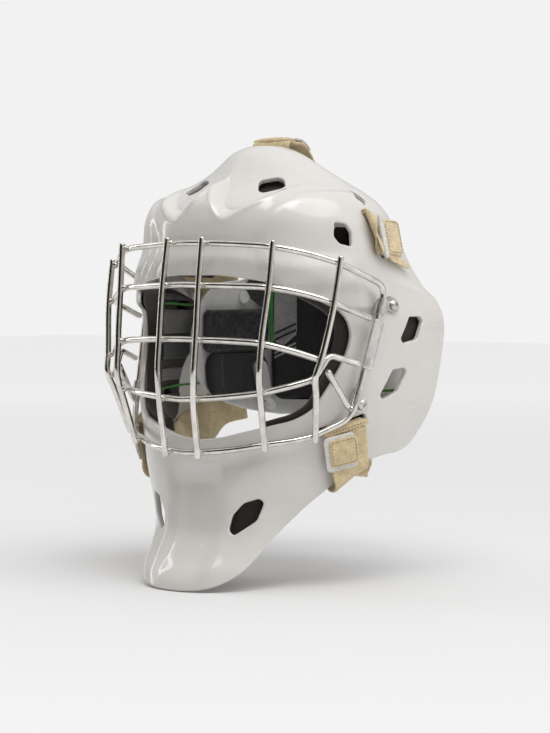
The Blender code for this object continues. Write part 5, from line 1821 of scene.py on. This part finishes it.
def add_toggle(side):
    """The pale moulded toggle that stands out of the lower side pad."""
    place = np.radians(TOGGLE_ANGLE), np.array(TOGGLE_HEIGHT)
    centre, normal = plate_surface(*place, TOGGLE_DEPTH), plate_normal(*place)
    up = np.array([0.10, -0.10, 1.0])
    up -= normal * (up @ normal)
    up /= np.linalg.norm(up)
    across = np.cross(normal, up)
    rings = []
    for lift, grow in ((-3.5, 1.0), (1.4, 1.0), (2.2, 0.93), (2.7, 0.78), (2.9, 0.5)):
        ring = []
        for turn in np.linspace(0, 2 * np.pi, TOGGLE_SIDES, endpoint=False):
            c, h = TOGGLE_RADIUS * math.cos(turn), TOGGLE_RADIUS * math.sin(turn)
            half = math.copysign(TOGGLE_STRAIGHT, h) if abs(h) > 1e-9 else 0
            ring.append(centre - normal * lift + across * c * grow + up * (h * grow + half))
        rings.append(ring)
    points = np.array(rings).reshape(-1, 3) * for_side((1, 1, 1), side)
    mesh = make_mesh("back_toggle_" + side, points, ring_faces(len(rings), TOGGLE_SIDES), sharp=60)
    face_out(mesh)
    add_piece("back_toggle_" + side, mesh, PILL_PLASTIC, PLATE_BODY, ())


def make_rivets():
    places = {"top": (0, 118), "upper": (67, 52), "lower": (52, -34)}
    for name, (angle, height) in places.items():
        for side in ("left", "right") if angle else ("",):
            turn, level = np.radians(float(angle)), np.array(float(height))
            mirror = for_side((1, 1, 1), side or "left")
            outer, axis = plate_surface(turn, level) * mirror, plate_normal(turn, level) * mirror
            face, radius = -PLATE_THICKNESS - 1.5, RIVET_RADIUS
            profile = [(0, face), (radius, face), (radius, face - 0.5), (radius * 0.92, face - 0.95),
                       (radius * 0.6, face - 1.2), (radius * 0.45, face - 0.9), (0, face - 0.85)]
            label = "rivet_" + name + ("_" + side if side else "")
            mesh = turned_mesh(label, profile, 32, outer, axis)
            add_piece(label, mesh, PLATE_PLASTIC, PLATE_BODY, ["backplate_" + label])


# ---------------------------------------------------------------- floor, light and camera
VIEW_AZIMUTH = math.radians(38.0)
VIEW_ELEVATION = math.radians(2.12)
VIEW_DISTANCE = 1.5
LENS = 130.9
SENSOR = 36.0
BACKDROP = 0.89
DARK_AZIMUTH = -4.0
SKY_BY_HEIGHT = [(0.0, (0.55, 0.54, 0.52)), (0.3, (0.58, 0.57, 0.56)), (0.75, (0.80, 0.80, 0.81)),
                 (1.0, (0.90, 0.90, 0.91))]
SKY_BY_GAP = [(0.0, (1.0, 1.0, 1.0)), (0.55, (0.75, 0.74, 0.73)), (0.80, (0.18, 0.165, 0.14)),
              (0.87, (0.03, 0.026, 0.02)), (1.0, (0.03, 0.026, 0.02))]


def add_ramp(tree, factor, stops):
    """A colour ramp in the world's nodes."""
    ramp = tree.nodes.new("ShaderNodeValToRGB")
    tree.links.new(factor, ramp.inputs["Fac"])
    while len(ramp.color_ramp.elements) < len(stops):
        ramp.color_ramp.elements.new(0.5)
    for element, (place, value) in zip(ramp.color_ramp.elements, stops):
        element.position = place
        element.color = (*value, 1)
    return ramp.outputs["Color"]


def view_direction(azimuth, elevation):
    """From the object towards a viewer: azimuth 0 is straight in front of the mask."""
    return Vector((math.sin(azimuth) * math.cos(elevation),
                   -math.cos(azimuth) * math.cos(elevation), math.sin(elevation)))


def add_camera():
    data = bpy.data.cameras.new("camera")
    data.sensor_fit = "HORIZONTAL"
    data.sensor_width = SENSOR
    data.lens = LENS
    camera = bpy.data.objects.new("camera", data)
    bpy.context.scene.collection.objects.link(camera)
    back = view_direction(VIEW_AZIMUTH, VIEW_ELEVATION)
    camera.location = back * VIEW_DISTANCE
    camera.rotation_euler = (-back).to_track_quat("-Z", "Y").to_euler()
    bpy.context.scene.camera = camera


# How far out from the mask the floor's painted shade fades to the pale floor colour
FLOOR_SHADE_REACH = 2.6


def add_floor(z):
    size, steps = 12.0, 24
    points = [(size * (i / steps - 0.5) * 1000, size * (j / steps - 0.5) * 1000, z)
              for i in range(steps + 1) for j in range(steps + 1)]
    faces = [(i * (steps + 1) + j, (i + 1) * (steps + 1) + j, (i + 1) * (steps + 1) + j + 1,
              i * (steps + 1) + j + 1) for i in range(steps) for j in range(steps)]
    mesh = make_mesh("floor", np.array(points), faces)
    made = Finish("pale_floor", 0.9)
    away = made.node("VectorMath", {0: made.where}, operation="LENGTH").outputs["Value"]
    # Painted shade: the floor's colour is darker near the mask and paler far away from it
    tone = made.ramp(made.math("MULTIPLY", away, 1 / FLOOR_SHADE_REACH), [(0.15, 0.765), (1.0, 0.97)])
    made.colour(made.blend(made.math("MULTIPLY", made.noise(60, 2), 0.04), tone, (0.6, 0.6, 0.6)))
    mesh.materials.append(made.material)
    floor = bpy.data.objects.new("floor", mesh)
    bpy.context.scene.collection.objects.link(floor)


def add_softbox(name, azimuth, elevation, distance, size, watts, tint=(1, 1, 1)):
    data = bpy.data.lights.new(name, "AREA")
    data.shape = "RECTANGLE"
    data.size, data.size_y = size
    data.energy = watts
    data.color = tint
    lamp = bpy.data.objects.new(name, data)
    bpy.context.scene.collection.objects.link(lamp)
    back = view_direction(math.radians(azimuth), math.radians(elevation))
    lamp.location = back * distance
    lamp.rotation_euler = (-back).to_track_quat("-Z", "Y").to_euler()


def light_scene():
    """A soft white room: bright above and behind the camera, with dark gaps that chrome can mirror."""
    bpy.context.scene.view_settings.view_transform = "Standard"
    world = bpy.data.worlds.new("studio")
    bpy.context.scene.world = world
    world.use_nodes = True
    tree = world.node_tree
    sky = tree.nodes["Background"]
    where = tree.nodes.new("ShaderNodeTexCoord").outputs["Generated"]
    split = tree.nodes.new("ShaderNodeSeparateXYZ")
    tree.links.new(where, split.inputs[0])
    height = add_ramp(tree, split.outputs["Z"], SKY_BY_HEIGHT)
    towards = tree.nodes.new("ShaderNodeVectorMath")
    towards.operation = "DOT_PRODUCT"
    tree.links.new(where, towards.inputs[0])
    towards.inputs[1].default_value = view_direction(math.radians(DARK_AZIMUTH), math.radians(4))
    gap = add_ramp(tree, towards.outputs["Value"], SKY_BY_GAP)
    room = tree.nodes.new("ShaderNodeMixRGB")
    room.blend_type = "MULTIPLY"
    room.inputs["Fac"].default_value = 1.0
    tree.links.new(height, room.inputs["Color1"])
    tree.links.new(gap, room.inputs["Color2"])
    rays = tree.nodes.new("ShaderNodeLightPath")
    mix = tree.nodes.new("ShaderNodeMixRGB")
    tree.links.new(rays.outputs["Is Camera Ray"], mix.inputs["Fac"])
    tree.links.new(room.outputs["Color"], mix.inputs["Color1"])
    mix.inputs["Color2"].default_value = (BACKDROP, BACKDROP, BACKDROP, 1)
    tree.links.new(mix.outputs["Color"], sky.inputs["Color"])
    sky.inputs["Strength"].default_value = 1.0
    add_softbox("softbox_top", 32, 62, 1.6, (1.0, 0.8), 7.6)
    add_softbox("softbox_right", 112, 20, 1.5, (0.4, 1.0), 0.9)
    add_softbox("softbox_left", -74, 20, 1.5, (0.12, 1.1), 1.6)
    data = bpy.data.lights.new("key", "SUN")
    data.energy = 0.92
    data.angle = math.radians(50)
    key = bpy.data.objects.new("key", data)
    bpy.context.scene.collection.objects.link(key)
    direction = view_direction(math.radians(85), math.radians(58))
    key.rotation_euler = (-direction).to_track_quat("-Z", "Y").to_euler()


make_shell()
make_cage()
make_clips()
make_liner()
make_backplate()
make_straps()
make_tabs()
add_floor(CAD_BOX[0][2] / MM - 1)
light_scene()
add_camera()
